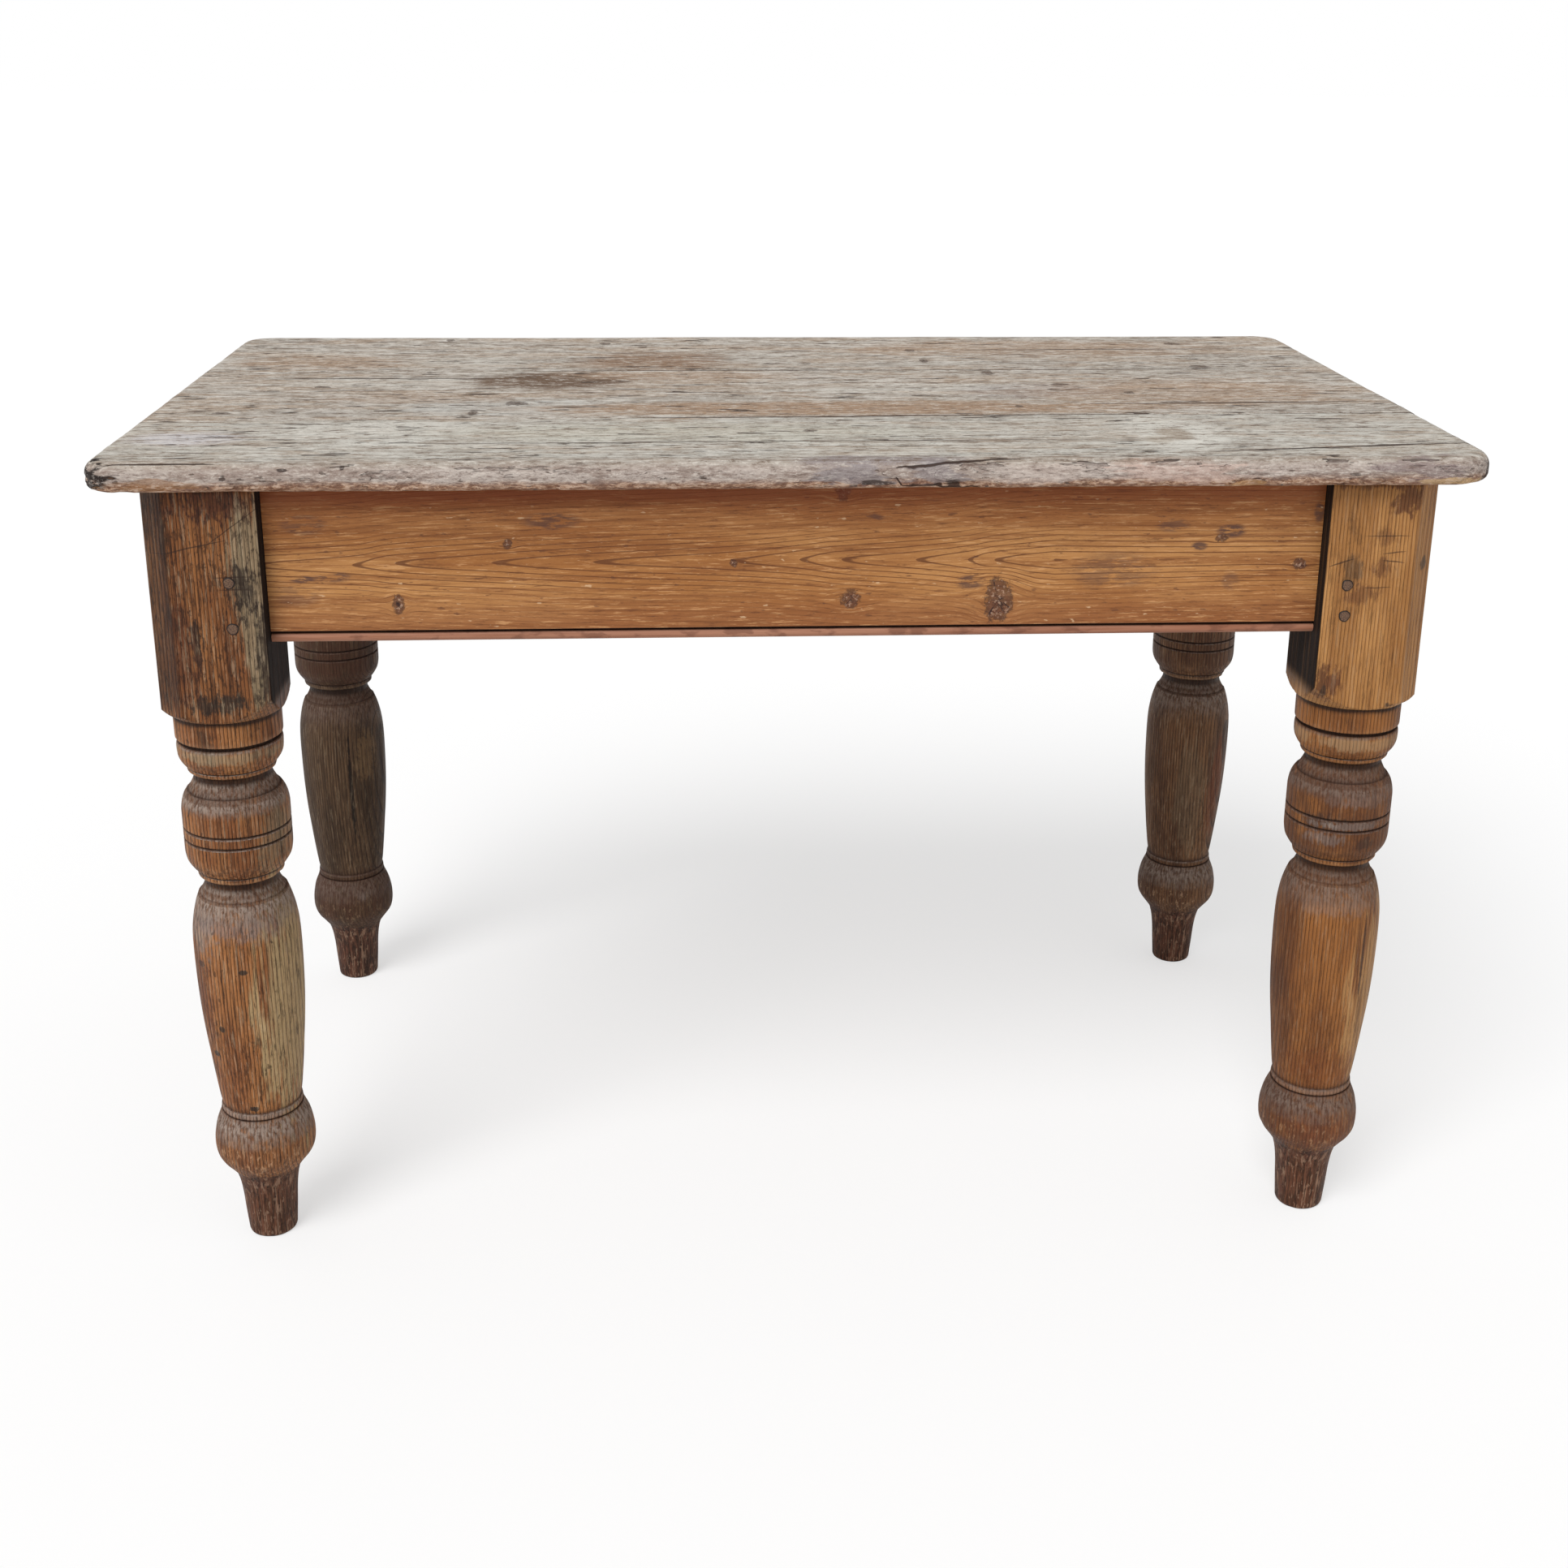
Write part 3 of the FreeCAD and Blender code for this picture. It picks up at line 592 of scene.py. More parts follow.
middle_finish = scrubbed_pine(
    "middle_board_finish", (0.7, 0.31, 0.0), (0.45, 0.315, 0.735), 0.12,
    [(0.218, 0.087, 0.006, 0.012), (-0.258, -0.075, 0.01, 0.01), (-0.295, -0.124, 0.004, 0.012),
     (-0.456, 0.016, 0.008, 0.006), (-0.526, -0.12, 0.01, 0.006), (0.281, 0.016, 0.009, 0.005),
     (0.342, -0.031, 0.005, 0.006), (0.221, -0.1, 0.004, 0.006)],
    [(-0.232, 0.049, 0.105, 0.06, 1.0, brown_stain), (-0.1, 0.075, 0.16, 0.03, 0.6, tan_stain),
     (0.05, -0.106, 0.4, 0.045, 0.85, tan_stain), (0.25, -0.02, 0.1, 0.05, 0.4, cool_grey),
     (-0.35, -0.05, 0.14, 0.03, 0.4, tan_stain), (0.4, -0.03, 0.2, 0.1, 0.5, tan_stain)],
    [(-0.27, -0.095, 0.13, 0.06, 0.6, (204, 206, 202)), (-0.4, 0.04, 0.12, 0.05, 0.4, pale_grey),
     (0.1, 0.0, 0.2, 0.03, 0.4, pale_grey)],
    [],
    open_front_seam + open_back_seam + [
        (-0.4, 0.062, 0.0, 0.12, 0.0022, 0.006), (0.43, -0.086, 0.02, 0.14, 0.0026, 0.007)])
back_finish = scrubbed_pine(
    "back_board_finish", (1.9, 0.77, 0.0), (1.6, 0.98, 0.738), 0.15,
    [(0.451, 0.122, 0.01, 0.009), (0.458, 0.278, 0.008, 0.008), (0.152, 0.234, 0.006, 0.008),
     (0.16, 0.165, 0.004, 0.012), (-0.539, 0.123, 0.012, 0.005), (-0.362, 0.315, 0.0045, 0.008),
     (-0.187, 0.287, 0.006, 0.008), (-0.144, 0.263, 0.005, 0.005), (0.523, 0.326, 0.006, 0.006)],
    [(-0.13, 0.165, 0.1, 0.08, 0.85, (140, 108, 82)), (0.3, 0.25, 0.3, 0.07, 0.5, tan_stain),
     (-0.48, 0.16, 0.12, 0.06, 0.5, tan_stain)],
    [(-0.33, 0.16, 0.1, 0.05, 0.35, pale_grey)],
    [],
    open_back_seam + [(0.36, 0.24, 0.01, 0.16, 0.0024, 0.007)])
board_nodes = ("top_board_front", "top_board_middle", "top_board_back")
for piece, finish, node in zip(top_boards, (front_finish, middle_finish, back_finish), board_nodes):
    piece.data.materials.append(finish)
    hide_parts(node)
    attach(piece, "root")


# Legs: pine blanks left square at the head, chamfered on two corners, and turned from the shoulder down.
# Wax, hands and boots have darkened the hollows and polished, chipped or bleached what stands out.
leg_centre_x, leg_centre_y = 0.50775, 0.27275
half_head = 0.05125
outer_chamfer, inner_chamfer = 0.023, 0.018
shoulder = 0.5355
sides_round = 136
row_reach, full_relief = 0.006, 0.0016

# Outline of the turned part in millimetres: runs of height and radius, smooth within a run, sharp between.
turned_runs = [
    [(0, 21.2), (1.0, 22.5), (3, 23.3)],
    [(3, 23.3), (24, 24.9), (43, 26.2), (55, 27.7), (62, 29.2), (68, 31.0), (73, 33.6)],
    [(73.4, 34.4), (76, 36.3), (79.5, 39.0), (85, 43.2), (91, 46.0), (99, 47.1), (108, 46.9), (115, 45.8),
     (122, 44.2), (128, 42.0), (133, 39.8), (136.4, 38.9)],
    [(136.6, 37.3), (137.4, 37.9), (140, 38.4), (143, 37.9), (143.8, 37.2)],
    [(144.2, 37.0), (152, 38.4), (164, 39.9), (182, 41.9), (201, 43.8), (219, 45.6), (237, 47.0), (255, 48.0),
     (273, 48.6), (290, 48.9), (303, 49.0), (316, 48.8), (326, 48.2), (334, 47.2), (340, 46.2), (346, 44.8),
     (353, 42.8), (359.4, 40.4)],
    [(359.8, 38.8), (363, 37.3), (367, 35.2), (372, 33.6), (376, 34.2), (378, 35.6)],
    [(378.3, 37.6), (379.4, 38.6), (381.4, 39.0), (383.4, 38.7), (384, 38.2)],
    [(384.4, 39.6), (389, 43.2), (395, 46.6), (401, 48.0), (407, 48.3), (415.2, 48.3)],
    [(415.2, 48.3), (416.5, 46.6), (417.8, 48.3)],
    [(417.8, 48.3), (425.7, 48.3)],
    [(425.7, 48.3), (427, 46.6), (428.3, 48.3)],
    [(428.3, 48.3), (438, 48.3), (444, 48.2), (450, 47.3), (456, 45.4), (460.6, 42.6)],
    [(461, 40.8), (465, 38.8), (470, 36.3), (475, 34.7), (478, 35.5), (479.6, 37.0)],
    [(479.9, 38.6), (481, 39.6), (482.6, 40.0), (484.2, 39.6), (484.8, 39.0)],
    [(485.2, 40.8), (489, 43.7), (492.5, 45.6), (496, 46.7), (500, 47.1), (505, 47.1), (508, 46.4)],
    [(508.4, 45.0), (510, 43.6), (511.6, 44.6)],
    [(512, 47.0), (513, 47.5), (520, 47.6), (534.8, 47.6), (535.6, 47.1)],
    [(535.8, 49.4), (539, 54.0), (543, 58.2), (549, 63.6), (557, 70.6), (566, 78.5)],
    [(566, 78.5), (745, 78.5)],
]


def smooth_run(points, step):
    """Points along one run: a Catmull-Rom curve, which leaves each point the way its neighbours point."""
    points = np.array(points, float)
    if len(points) == 2:
        count = max(2, int(np.linalg.norm(points[1] - points[0]) / step) + 1)
        return points[0] + (points[1] - points[0]) * np.linspace(0, 1, count)[:, None]
    runs = []
    for number in range(len(points) - 1):
        p0 = points[number - 1] if number else 2 * points[0] - points[1]
        p1, p2 = points[number], points[number + 1]
        p3 = points[number + 2] if number + 2 < len(points) else 2 * points[-1] - points[-2]
        count = max(2, int(np.linalg.norm(p2 - p1) / step) + 1)
        t = np.linspace(0, 1, count + 1)[:-1, None]
        runs.append(0.5 * (2 * p1 + (p2 - p0) * t + (2 * p0 - 5 * p1 + 4 * p2 - p3) * t ** 2
                           + (3 * p1 - p0 - 3 * p2 + p3) * t ** 3))
    return np.vstack(runs + [points[-1:]])


def turned_outline():
    """All runs of the outline one above the other, in metres, as heights and radii."""
    rows = []
    for run in turned_runs:
        in_vase, in_head = run[0][0] > 144 and run[-1][0] < 360, run[-1][0] > 700
        rows.append(smooth_run(run, 6.0 if in_head else (3.0 if in_vase else 1.3)))
    rows = np.vstack(rows)
    keep = np.concatenate([[True], np.linalg.norm(np.diff(rows, axis=0), axis=1) > 0.05])
    return rows[keep, 0] / 1000, rows[keep, 1] / 1000


def head_radius(angles, way_x, way_y):
    """Distance from the leg's axis to its square head: to the nearest side or chamfer in that direction.

    The nearest is a soft minimum, minus a small number times the log of a sum of exponentials, which rounds
    the arrises.
    """
    sides = [(0.0, half_head), (math.pi / 2, half_head), (math.pi, half_head), (-math.pi / 2, half_head)]
    outwards = math.atan2(way_y, way_x)
    sides.append((outwards, (2 * half_head - outer_chamfer) / math.sqrt(2)))
    sides.append((outwards + math.pi, (2 * half_head - inner_chamfer) / math.sqrt(2)))
    softness = 0.0007
    total = np.zeros_like(angles)
    for direction, reach in sides:
        facing = np.cos(angles - direction)
        distance = np.where(facing > 0.05, reach / np.maximum(facing, 0.05), 1.0)
        total += np.exp(-distance / softness)
    return -softness * np.log(total)


def keep_values(piece, label, values):
    """Keeps a number for each point of a piece, for its finish to read."""
    layer = piece.data.attributes.new(label, "FLOAT", "POINT")
    layer.data.foreach_set("value", values.astype(np.float32).ravel())


def leg(name, way_x, way_y, seed):
    """A turned leg: its radius is the smaller of the head's and the turned outline's, all the way round.

    Broad noise makes it slightly uneven, and fine noise chips what stands out. How far a row stands out from
    the mean of the rows near it is kept in two attributes, crest and hollow, for the wear in the finish. A
    third, shelf, is how far a row faces upwards: the sine of its slope, where the radius shrinks with height.
    """
    heights, outline = turned_outline()
    corners = []
    for turn, cut in ((0, outer_chamfer), (math.pi, inner_chamfer)):
        half_angle = math.atan2(half_head - cut, half_head)
        corners += [turn + half_angle, turn + math.pi / 2 - half_angle]
    corners += [3 * math.pi / 4, -math.pi / 4]
    corners = np.array(corners) + math.atan2(way_y, way_x) - math.pi / 4
    even = np.arange(sides_round) * 2 * math.pi / sides_round
    close = (corners[:, None] + np.radians([-1.6, -0.6, 0.0, 0.6, 1.6])).ravel()
    angles = np.unique(np.round(np.concatenate([even, close]) % (2 * math.pi), 5))
    head = head_radius(angles, way_x, way_y)
    radius = np.minimum(outline[:, None], head[None, :])
    out = np.stack([np.cos(angles), np.sin(angles)], axis=-1)
    place = np.empty((len(heights), len(angles), 3))
    place[..., :2] = radius[..., None] * out
    place[..., 2] = heights[:, None]

    spread = np.abs(heights[:, None] - heights[None, :])
    weight = np.exp(-(spread / row_reach) ** 2) * np.gradient(heights)[None, :].clip(1e-5)
    weight /= weight.sum(axis=1, keepdims=True)
    stands_out = radius - weight @ radius
    turned = (heights < shoulder).astype(float)[:, None]
    crest = np.clip(stands_out / full_relief, 0, 1) * turned
    hollow = np.clip(-stands_out / full_relief, 0, 1) * turned
    below_head = (heights[:, None] > shoulder) & (outline[:, None] < head[None, :])
    crest = np.maximum(crest, 0.5 * below_head)
    rise = np.maximum(np.gradient(heights), 1e-6)
    shrink = -np.gradient(outline) / rise
    shelf = (np.clip(shrink, 0, None) / np.hypot(shrink, 1.0))[:, None] * turned

    broad = soft_noise(place, (0.05, 0.05, 0.16), seed)
    chips = np.clip(soft_noise(place, (0.007, 0.007, 0.01), seed + 1) - 0.25, 0, None)
    ripple = soft_noise(place, (0.006, 0.006, 0.09), seed + 2)
    radius = radius - 0.00035 * (1 + broad) - 0.0022 * chips * crest - 0.00018 * (1 + ripple)
    place[..., :2] = radius[..., None] * out
    place[..., 0] += way_x * leg_centre_x
    place[..., 1] += way_y * leg_centre_y

    count, around = radius.shape
    ends = [list(range(around)), list(range((count - 1) * around, count * around))]
    piece = solid(name, place, ring_faces(count, around) + ends)
    for label, values in (("crest", crest), ("hollow", hollow), ("shelf", shelf)):
        keep_values(piece, label, np.broadcast_to(values, radius.shape))
    return piece


def turned_pine(name, way_x, way_y, heart, head_tones, turned_tones, grime, dust, belt, face_marks, marks,
                scratches):
    """Leg finish: close upright grain, grime in hollows and on the outer chamfer, painted shade on the head's
    inner faces, pale dust with a painted sheen on ledges, and stains.

    The square head and the turned part each have their own dark, middle and light tone. A mark is a place,
    its reach each way, a share and a tint. Marks and scratches on the head's front face leave out Y.
    """
    material, nodes = new_material(name)
    place = nodes.add("TexCoord", {}, "Object")
    inputs = {"Vector": place, "Location": (-way_x * leg_centre_x, -way_y * leg_centre_y, 0.0)}
    local = nodes.add("Mapping", inputs, vector_type="POINT")
    x, y, level = (nodes.part(local, axis) for axis in "XYZ")
    upright = nodes.join(level, x, y)
    grain = nodes.group(pine_grain, Vector=upright, Heart=heart, Lean=0.002, Ring=0.0032, Wander=0.007)
    latewood = grain["Latewood"]
    streak = nodes.noise(local, (240.0, 240.0, 6.0), 4.0, 0.65)
    broad = nodes.noise(local, (30.0, 30.0, 6.0), 3.0, 0.6, 0.4)
    hair = nodes.noise(local, (400.0, 400.0, 30.0), 4.0, 0.74)
    crust = nodes.noise(local, (300.0, 300.0, 110.0), 3.0, 0.7)
    blotch = nodes.noise(local, (46.0, 46.0, 30.0), 5.0, 0.7, 0.5)
    below = nodes.step(level, 0.5362, 0.534)
    crest, hollow, shelf = (nodes.add("Attribute", {}, "Fac", attribute_name=label)
                            for label in ("crest", "hollow", "shelf"))

    dark, mid, light = (nodes.mix(below, above, under) for above, under in zip(head_tones, turned_tones))
    colour = nodes.mix(nodes.step(broad, 0.4, 0.6), mid, light)
    colour = nodes.layers(colour, [(streak, 0.5, 0.64, 0.22 + 0.6 * grime, dark)])
    colour = nodes.lay(colour, dark, latewood, 0.5)
    colour = nodes.layers(colour, [
        (blotch, 0.66 - 0.14 * grime, 0.74 - 0.1 * grime, 0.3 + 0.45 * grime, (52, 37, 29))])
    lines, crumbs = nodes.plus(streak, broad), nodes.plus(crust, blotch)
    on_face = [(at_x, -0.325, at_z, reach_x, 0.03, *rest) for at_x, at_z, reach_x, *rest in face_marks]
    for *numbers, share, tint in on_face + marks:
        centre, radii = numbers[:3], numbers[3:]
        firm = radii[2] > 0.09 or radii[0] < 0.008
        ragged, rough, full, soft = (lines if radii[2] > 0.09 else crumbs), 1.7, 0.66, 0.3
        if firm:
            rough, full, soft = 1.1, 0.42, 0.12
        spot = nodes.spot(place, centre, radii)
        patch = nodes.step(nodes.plus(spot, nodes.times(nodes.minus(ragged, 1.0), rough)), 0.18, full)
        colour = nodes.lay(colour, tint, patch, nodes.step(spot, 0.0, soft), share)
    colour = nodes.layers(colour, [(latewood, 0.3, 0.95, 0.22 + 0.44 * grime, (44, 28, 20))])
    pale_ridge = nodes.mix(0.2 + 0.45 * dust, colour, (208, 184, 152))
    colour = nodes.layers(colour, [
        (hair, 0.46, 0.37, 0.26 + 0.26 * grime, pale_ridge),
        (hair, 0.55, 0.62, 0.34 + 0.45 * grime, (42, 27, 19))])
    crusted = nodes.step(below, 0.0, 1.0, 1.4 * grime ** 2, 0.3 * grime)
    colour = nodes.lay(colour, (40, 27, 20), nodes.step(crust, 0.53, 0.61), crusted)
    pits = nodes.step(nodes.noise(local, (170.0, 170.0, 80.0), 2.0, 0.5), 0.68, 0.72)
    colour = nodes.lay(colour, (34, 22, 17), pits, below, 0.9 * grime)
    front = nodes.join(nodes.part(place, "X"), nodes.part(place, "Z"), 0.0)
    for row in scratches:
        colour = nodes.lay(colour, (50, 34, 27), add_crack(nodes, front, *row, 0.003), 0.7)

    belts = nodes.most(nodes.times(nodes.step(level, 0.376, 0.392), nodes.step(level, 0.476, 0.452)),
                       nodes.times(nodes.step(level, 0.07, 0.08), nodes.step(level, 0.158, 0.128)))
    belt_colour = nodes.mix(below, dark, (70, 42, 30))
    colour = nodes.lay(colour, belt_colour, belts, nodes.step(blotch, 0.36, 0.56, 0.35 * belt, belt))
    bleached = nodes.mix(0.15 + 0.5 * dust, light, (172, 144, 118))
    colour = nodes.lay(colour, bleached, nodes.step(crest, 0.1, 0.9), nodes.step(streak, 0.34, 0.56), 0.45)
    ledge = nodes.times(nodes.step(shelf, 0.06, 0.36), nodes.step(blotch, 0.26, 0.46))
    colour = nodes.lay(colour, (70, 48, 39), ledge, 0.72)
    # Dust with a painted sheen: a pale grey-pink frosting on the rows that face upwards, by the dust share.
    dust_and_sheen_mottle = nodes.step(nodes.noise(local, (380.0, 380.0, 90.0), 4.0, 0.7), 0.38, 0.6, 0.12, 1.0)
    gentle = nodes.step(shelf, 0.38, 0.5, 1.0, 0.4)
    colour = nodes.lay(colour, (162, 146, 134), ledge, dust_and_sheen_mottle, gentle, dust)
    colour = nodes.layers(colour, [(hollow, 0.05, 0.8, 0.88, (38, 22, 15))])
    chipped = nodes.times(nodes.step(level, 0.12, 0.104), nodes.step(crust, 0.44, 0.36), 0.15 + 0.5 * dust)
    colour = nodes.mix(chipped, colour, nodes.mix(0.6, light, (208, 172, 138)))
    foot = nodes.step(nodes.plus(level, nodes.times(broad, 0.03)), 0.098, 0.084)
    foot_colour = nodes.layers(nodes.mix(nodes.step(hair, 0.4, 0.6), (94, 57, 42), (42, 23, 16)), [
        (streak, 0.47, 0.38, 0.7, (32, 19, 14)), (streak, 0.54, 0.62, 0.66, (154, 122, 100)),
        (crust, 0.56, 0.64, 0.5, (158, 128, 106))])
    colour = nodes.lay(colour, foot_colour, foot, 0.88)

    # Painted shade on the head's inner faces and inner chamfer, near black and rough; the outer chamfer's
    # share is grime.
    out_x, out_y = nodes.times(x, float(way_x)), nodes.times(y, float(way_y))
    beside, corner = nodes.math("MINIMUM", out_x, out_y), nodes.plus(out_x, out_y)
    inner = nodes.most(nodes.step(beside, -0.0494, -0.0503), nodes.step(corner, -0.0818, -0.0832),
                       nodes.times(nodes.step(corner, 0.0765, 0.0778), 0.9 * grime))
    inner = nodes.times(inner, nodes.step(level, 0.536, 0.56), nodes.step(streak, 0.25, 0.6, 0.9, 1.0))
    colour = nodes.mix(inner, colour, (26, 15, 10))

    relief = nodes.plus(nodes.times(latewood, -0.8), nodes.times(hair, -1.2), nodes.times(streak, -0.8))
    roughness = nodes.add("MapRange", {0: streak, 1: 0.3, 2: 0.7, 3: 0.42, 4: 0.66})
    roughness = nodes.most(roughness, nodes.times(nodes.most(inner, ledge), 0.9))
    nodes.coat(colour, roughness, relief, 0.9, 0.001, specular=0.17)
    return material


# The last colour is a pale grey for dust on the turnings, also standing in for their painted sheen.
black_grime, red_brown, grey_green, dust_and_sheen = (50, 42, 36), (84, 46, 32), (140, 129, 103), (152, 138, 129)
legs = {
    "front_left": (
        -1, -1, (0.3, -0.34, -0.083), ((66, 38, 24), (124, 76, 42), (150, 98, 56)),
        ((66, 40, 26), (138, 85, 48), (166, 110, 64)), 0.65, 0.8, 0.15,
        [(-0.466, 0.65, 0.026, 0.13, 0.62, grey_green), (-0.472, 0.655, 0.022, 0.04, 0.85, black_grime),
         (-0.46, 0.59, 0.012, 0.08, 0.8, black_grime), (-0.502, 0.553, 0.04, 0.014, 0.85, black_grime),
         (-0.495, 0.742, 0.065, 0.04, 0.8, red_brown), (-0.517, 0.611, 0.006, 0.03, 0.8, black_grime),
         (-0.528, 0.6, 0.02, 0.07, 0.5, red_brown)],
        [(-0.456, -0.3, 0.25, 0.052, 0.08, 0.17, 0.8, (180, 154, 112)),
         (-0.504, -0.32, 0.2965, 0.006, 0.06, 0.004, 0.9, black_grime),
         (-0.544, -0.305, 0.299, 0.005, 0.06, 0.004, 0.8, black_grime),
         (-0.529, -0.315, 0.236, 0.004, 0.06, 0.004, 0.8, black_grime),
         (-0.538, -0.31, 0.206, 0.005, 0.06, 0.005, 0.9, black_grime),
         (-0.507, -0.32, 0.15, 0.006, 0.06, 0.004, 0.9, black_grime),
         (-0.507, -0.315, 0.098, 0.07, 0.06, 0.05, 0.35, (112, 72, 50)),
         (-0.548, -0.3, 0.27, 0.018, 0.04, 0.09, 0.5, red_brown),
         # Pale bands on the vase's shoulder: dust with a painted sheen.
         (-0.545, -0.31, 0.335, 0.03, 0.04, 0.04, 0.5, dust_and_sheen),
         (-0.48, -0.32, 0.34, 0.03, 0.03, 0.026, 0.35, dust_and_sheen),
         (-0.515, -0.318, 0.338, 0.045, 0.04, 0.018, 0.4, (138, 126, 126)),
         (-0.507, -0.31, 0.1405, 0.07, 0.08, 0.0055, 0.6, dust_and_sheen),
         (-0.507, -0.3, 0.502, 0.11, 0.12, 0.009, 0.5, (158, 144, 116)),
         (-0.466, -0.3, 0.425, 0.026, 0.06, 0.06, 0.45, grey_green)],
        [(-0.518, 0.693, 0.22, 0.034, 0.0009), (-0.48, 0.711, 0.72, 0.026, 0.0009),
         (-0.482, 0.668, 0.03, 0.016, 0.0008), (-0.48, 0.657, 0.0, 0.014, 0.0008)]),
    "front_right": (
        1, -1, (0.3, 0.33, -0.12), ((122, 75, 37), (161, 112, 63), (183, 132, 78)),
        ((78, 44, 24), (126, 78, 40), (152, 98, 50)), 0.1, 0.32, 0.62,
        [(0.506, 0.667, 0.012, 0.014, 0.55, red_brown), (0.508, 0.695, 0.02, 0.014, 0.4, red_brown),
         (0.523, 0.732, 0.02, 0.03, 0.75, red_brown), (0.492, 0.645, 0.024, 0.014, 0.5, red_brown),
         (0.467, 0.562, 0.02, 0.028, 0.75, red_brown), (0.482, 0.664, 0.014, 0.02, 0.55, black_grime),
         (0.466, 0.556, 0.004, 0.008, 0.7, black_grime), (0.526, 0.541, 0.008, 0.004, 0.8, black_grime),
         (0.49, 0.742, 0.05, 0.008, 0.6, red_brown)],
        [(0.548, -0.31, 0.668, 0.005, 0.03, 0.01, 0.7, black_grime),
         (0.48, -0.316, 0.424, 0.036, 0.03, 0.014, 0.75, black_grime),
         # Pale bands on the barrel, below and between its grooves: dust with a painted sheen.
         (0.48, -0.316, 0.408, 0.032, 0.03, 0.01, 0.7, dust_and_sheen),
         (0.52, -0.318, 0.404, 0.014, 0.03, 0.01, 0.7, black_grime),
         (0.5, -0.32, 0.4218, 0.06, 0.04, 0.006, 0.8, dust_and_sheen),
         # Paler right side of the vase: partly bleached wood, partly painted light on the side the lamp
         # leaves darker.
         (0.55, -0.28, 0.25, 0.044, 0.09, 0.14, 0.62, (186, 142, 92)),
         # Painted shade: a darker left edge of the vase.
         (0.46, -0.29, 0.3, 0.022, 0.08, 0.1, 0.5, (84, 50, 30)),
         (0.505, -0.32, 0.165, 0.06, 0.06, 0.034, 0.4, (112, 58, 30)),
         (0.531, -0.312, 0.29, 0.002, 0.04, 0.06, 0.8, (72, 50, 36)),
         (0.535, -0.308, 0.235, 0.0018, 0.04, 0.05, 0.55, (84, 54, 36)),
         (0.525, -0.314, 0.306, 0.0016, 0.04, 0.034, 0.6, (84, 54, 36)),
         (0.508, -0.32, 0.1, 0.07, 0.06, 0.05, 0.5, (120, 66, 46)),
         (0.507, -0.31, 0.1405, 0.07, 0.08, 0.0055, 0.6, (166, 136, 116)),
         # Painted shade: the darker left edge of the vase, lower down.
         (0.462, -0.285, 0.2, 0.018, 0.08, 0.1, 0.5, (76, 46, 32)),
         (0.51, -0.3, 0.501, 0.11, 0.12, 0.01, 0.45, (172, 144, 108)),
         # Pale bands on the vase's shoulder and above the barrel's grooves: dust with a painted sheen and
         # highlight.
         (0.5, -0.316, 0.34, 0.05, 0.05, 0.016, 0.25, (150, 132, 122)),
         (0.515, -0.316, 0.446, 0.05, 0.05, 0.01, 0.45, (150, 134, 126))],
        [(0.471, 0.673, 0.3, 0.011, 0.0011), (0.517, 0.6815, 0.1, 0.01, 0.0009),
         (0.517, 0.6735, -0.1, 0.01, 0.0009), (0.51, 0.6965, 0.0, 0.02, 0.0007),
         (0.505, 0.65, 0.0, 0.012, 0.0007)]),
    # Painted shade: the back legs' tones are much darker than the front legs', as the back legs stand in
    # shade.
    "back_right": (
        1, 1, (0.3, 0.3, -0.2), ((42, 28, 20), (80, 57, 41), (102, 75, 54)),
        ((48, 30, 20), (98, 67, 45), (126, 90, 60)), 0.35, 0.6, 0.4, [],
        [(0.502, 0.224, 0.22, 0.024, 0.03, 0.1, 0.45, (120, 99, 76)),
         (0.538, 0.236, 0.24, 0.016, 0.03, 0.095, 0.55, (116, 62, 34)),
         (0.495, 0.225, 0.125, 0.03, 0.03, 0.012, 0.6, dust_and_sheen)], []),
    "back_left": (
        -1, 1, (0.3, -0.34, 0.08), ((36, 25, 18), (66, 48, 35), (86, 64, 47)),
        ((38, 27, 20), (70, 52, 36), (90, 68, 48)), 0.4, 0.2, 0.7, [],
        [(-0.476, 0.235, 0.294, 0.018, 0.03, 0.044, 0.65, (116, 90, 62)),
         (-0.4935, 0.226, 0.255, 0.0024, 0.03, 0.088, 0.9, (24, 17, 13)),
         (-0.488, 0.228, 0.12, 0.016, 0.03, 0.012, 0.6, dust_and_sheen)], []),
}
for number, (corner, values) in enumerate(legs.items()):
    piece = leg("turned_leg_" + corner, *values[:2], 50 + 7 * number)
    piece.data.materials.append(turned_pine("leg_finish_" + corner, *values))
    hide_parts("leg_" + corner)
    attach(piece, "root")


# Aprons: four pine boards between the leg heads, each with a bead and quirk run along its lower edge.
# They keep their old honey-coloured wax. The front one is sawn close to the tree's heart.
apron_middle = 0.675
bead_top = 0.6158
outer_face = 0.308


def even_out(nodes, value, heart_x, spacing, tips):
    """A curve through the places of the arches' tips, which gives back the even spacing that they'd have."""
    half = 0.6
    share = nodes.plus(nodes.math("DIVIDE", value, 2 * half), 0.5)
    curved = nodes.add("FloatCurve", {"Factor": 1.0, "Value": share})
    evenly = [heart_x - spacing * number for number in range(len(tips), 0, -1)]
    pairs = [(-half, evenly[0] - tips[0] - half), *zip(tips, evenly), (half, evenly[-1] - tips[-1] + half)]
    low = min(pair[1] for pair in pairs)
    span = max(pair[1] for pair in pairs) - low
    spots = [(tip / (2 * half) + 0.5, (even - low) / span) for tip, even in pairs]
    mapping = curved.node.mapping
    points = mapping.curves[0].points
    points[0].location, points[-1].location = spots[0], spots[-1]
    for spot in spots[1:-1]:
        points.new(*spot)
    mapping.update()
    return nodes.plus(nodes.times(curved, span), low)


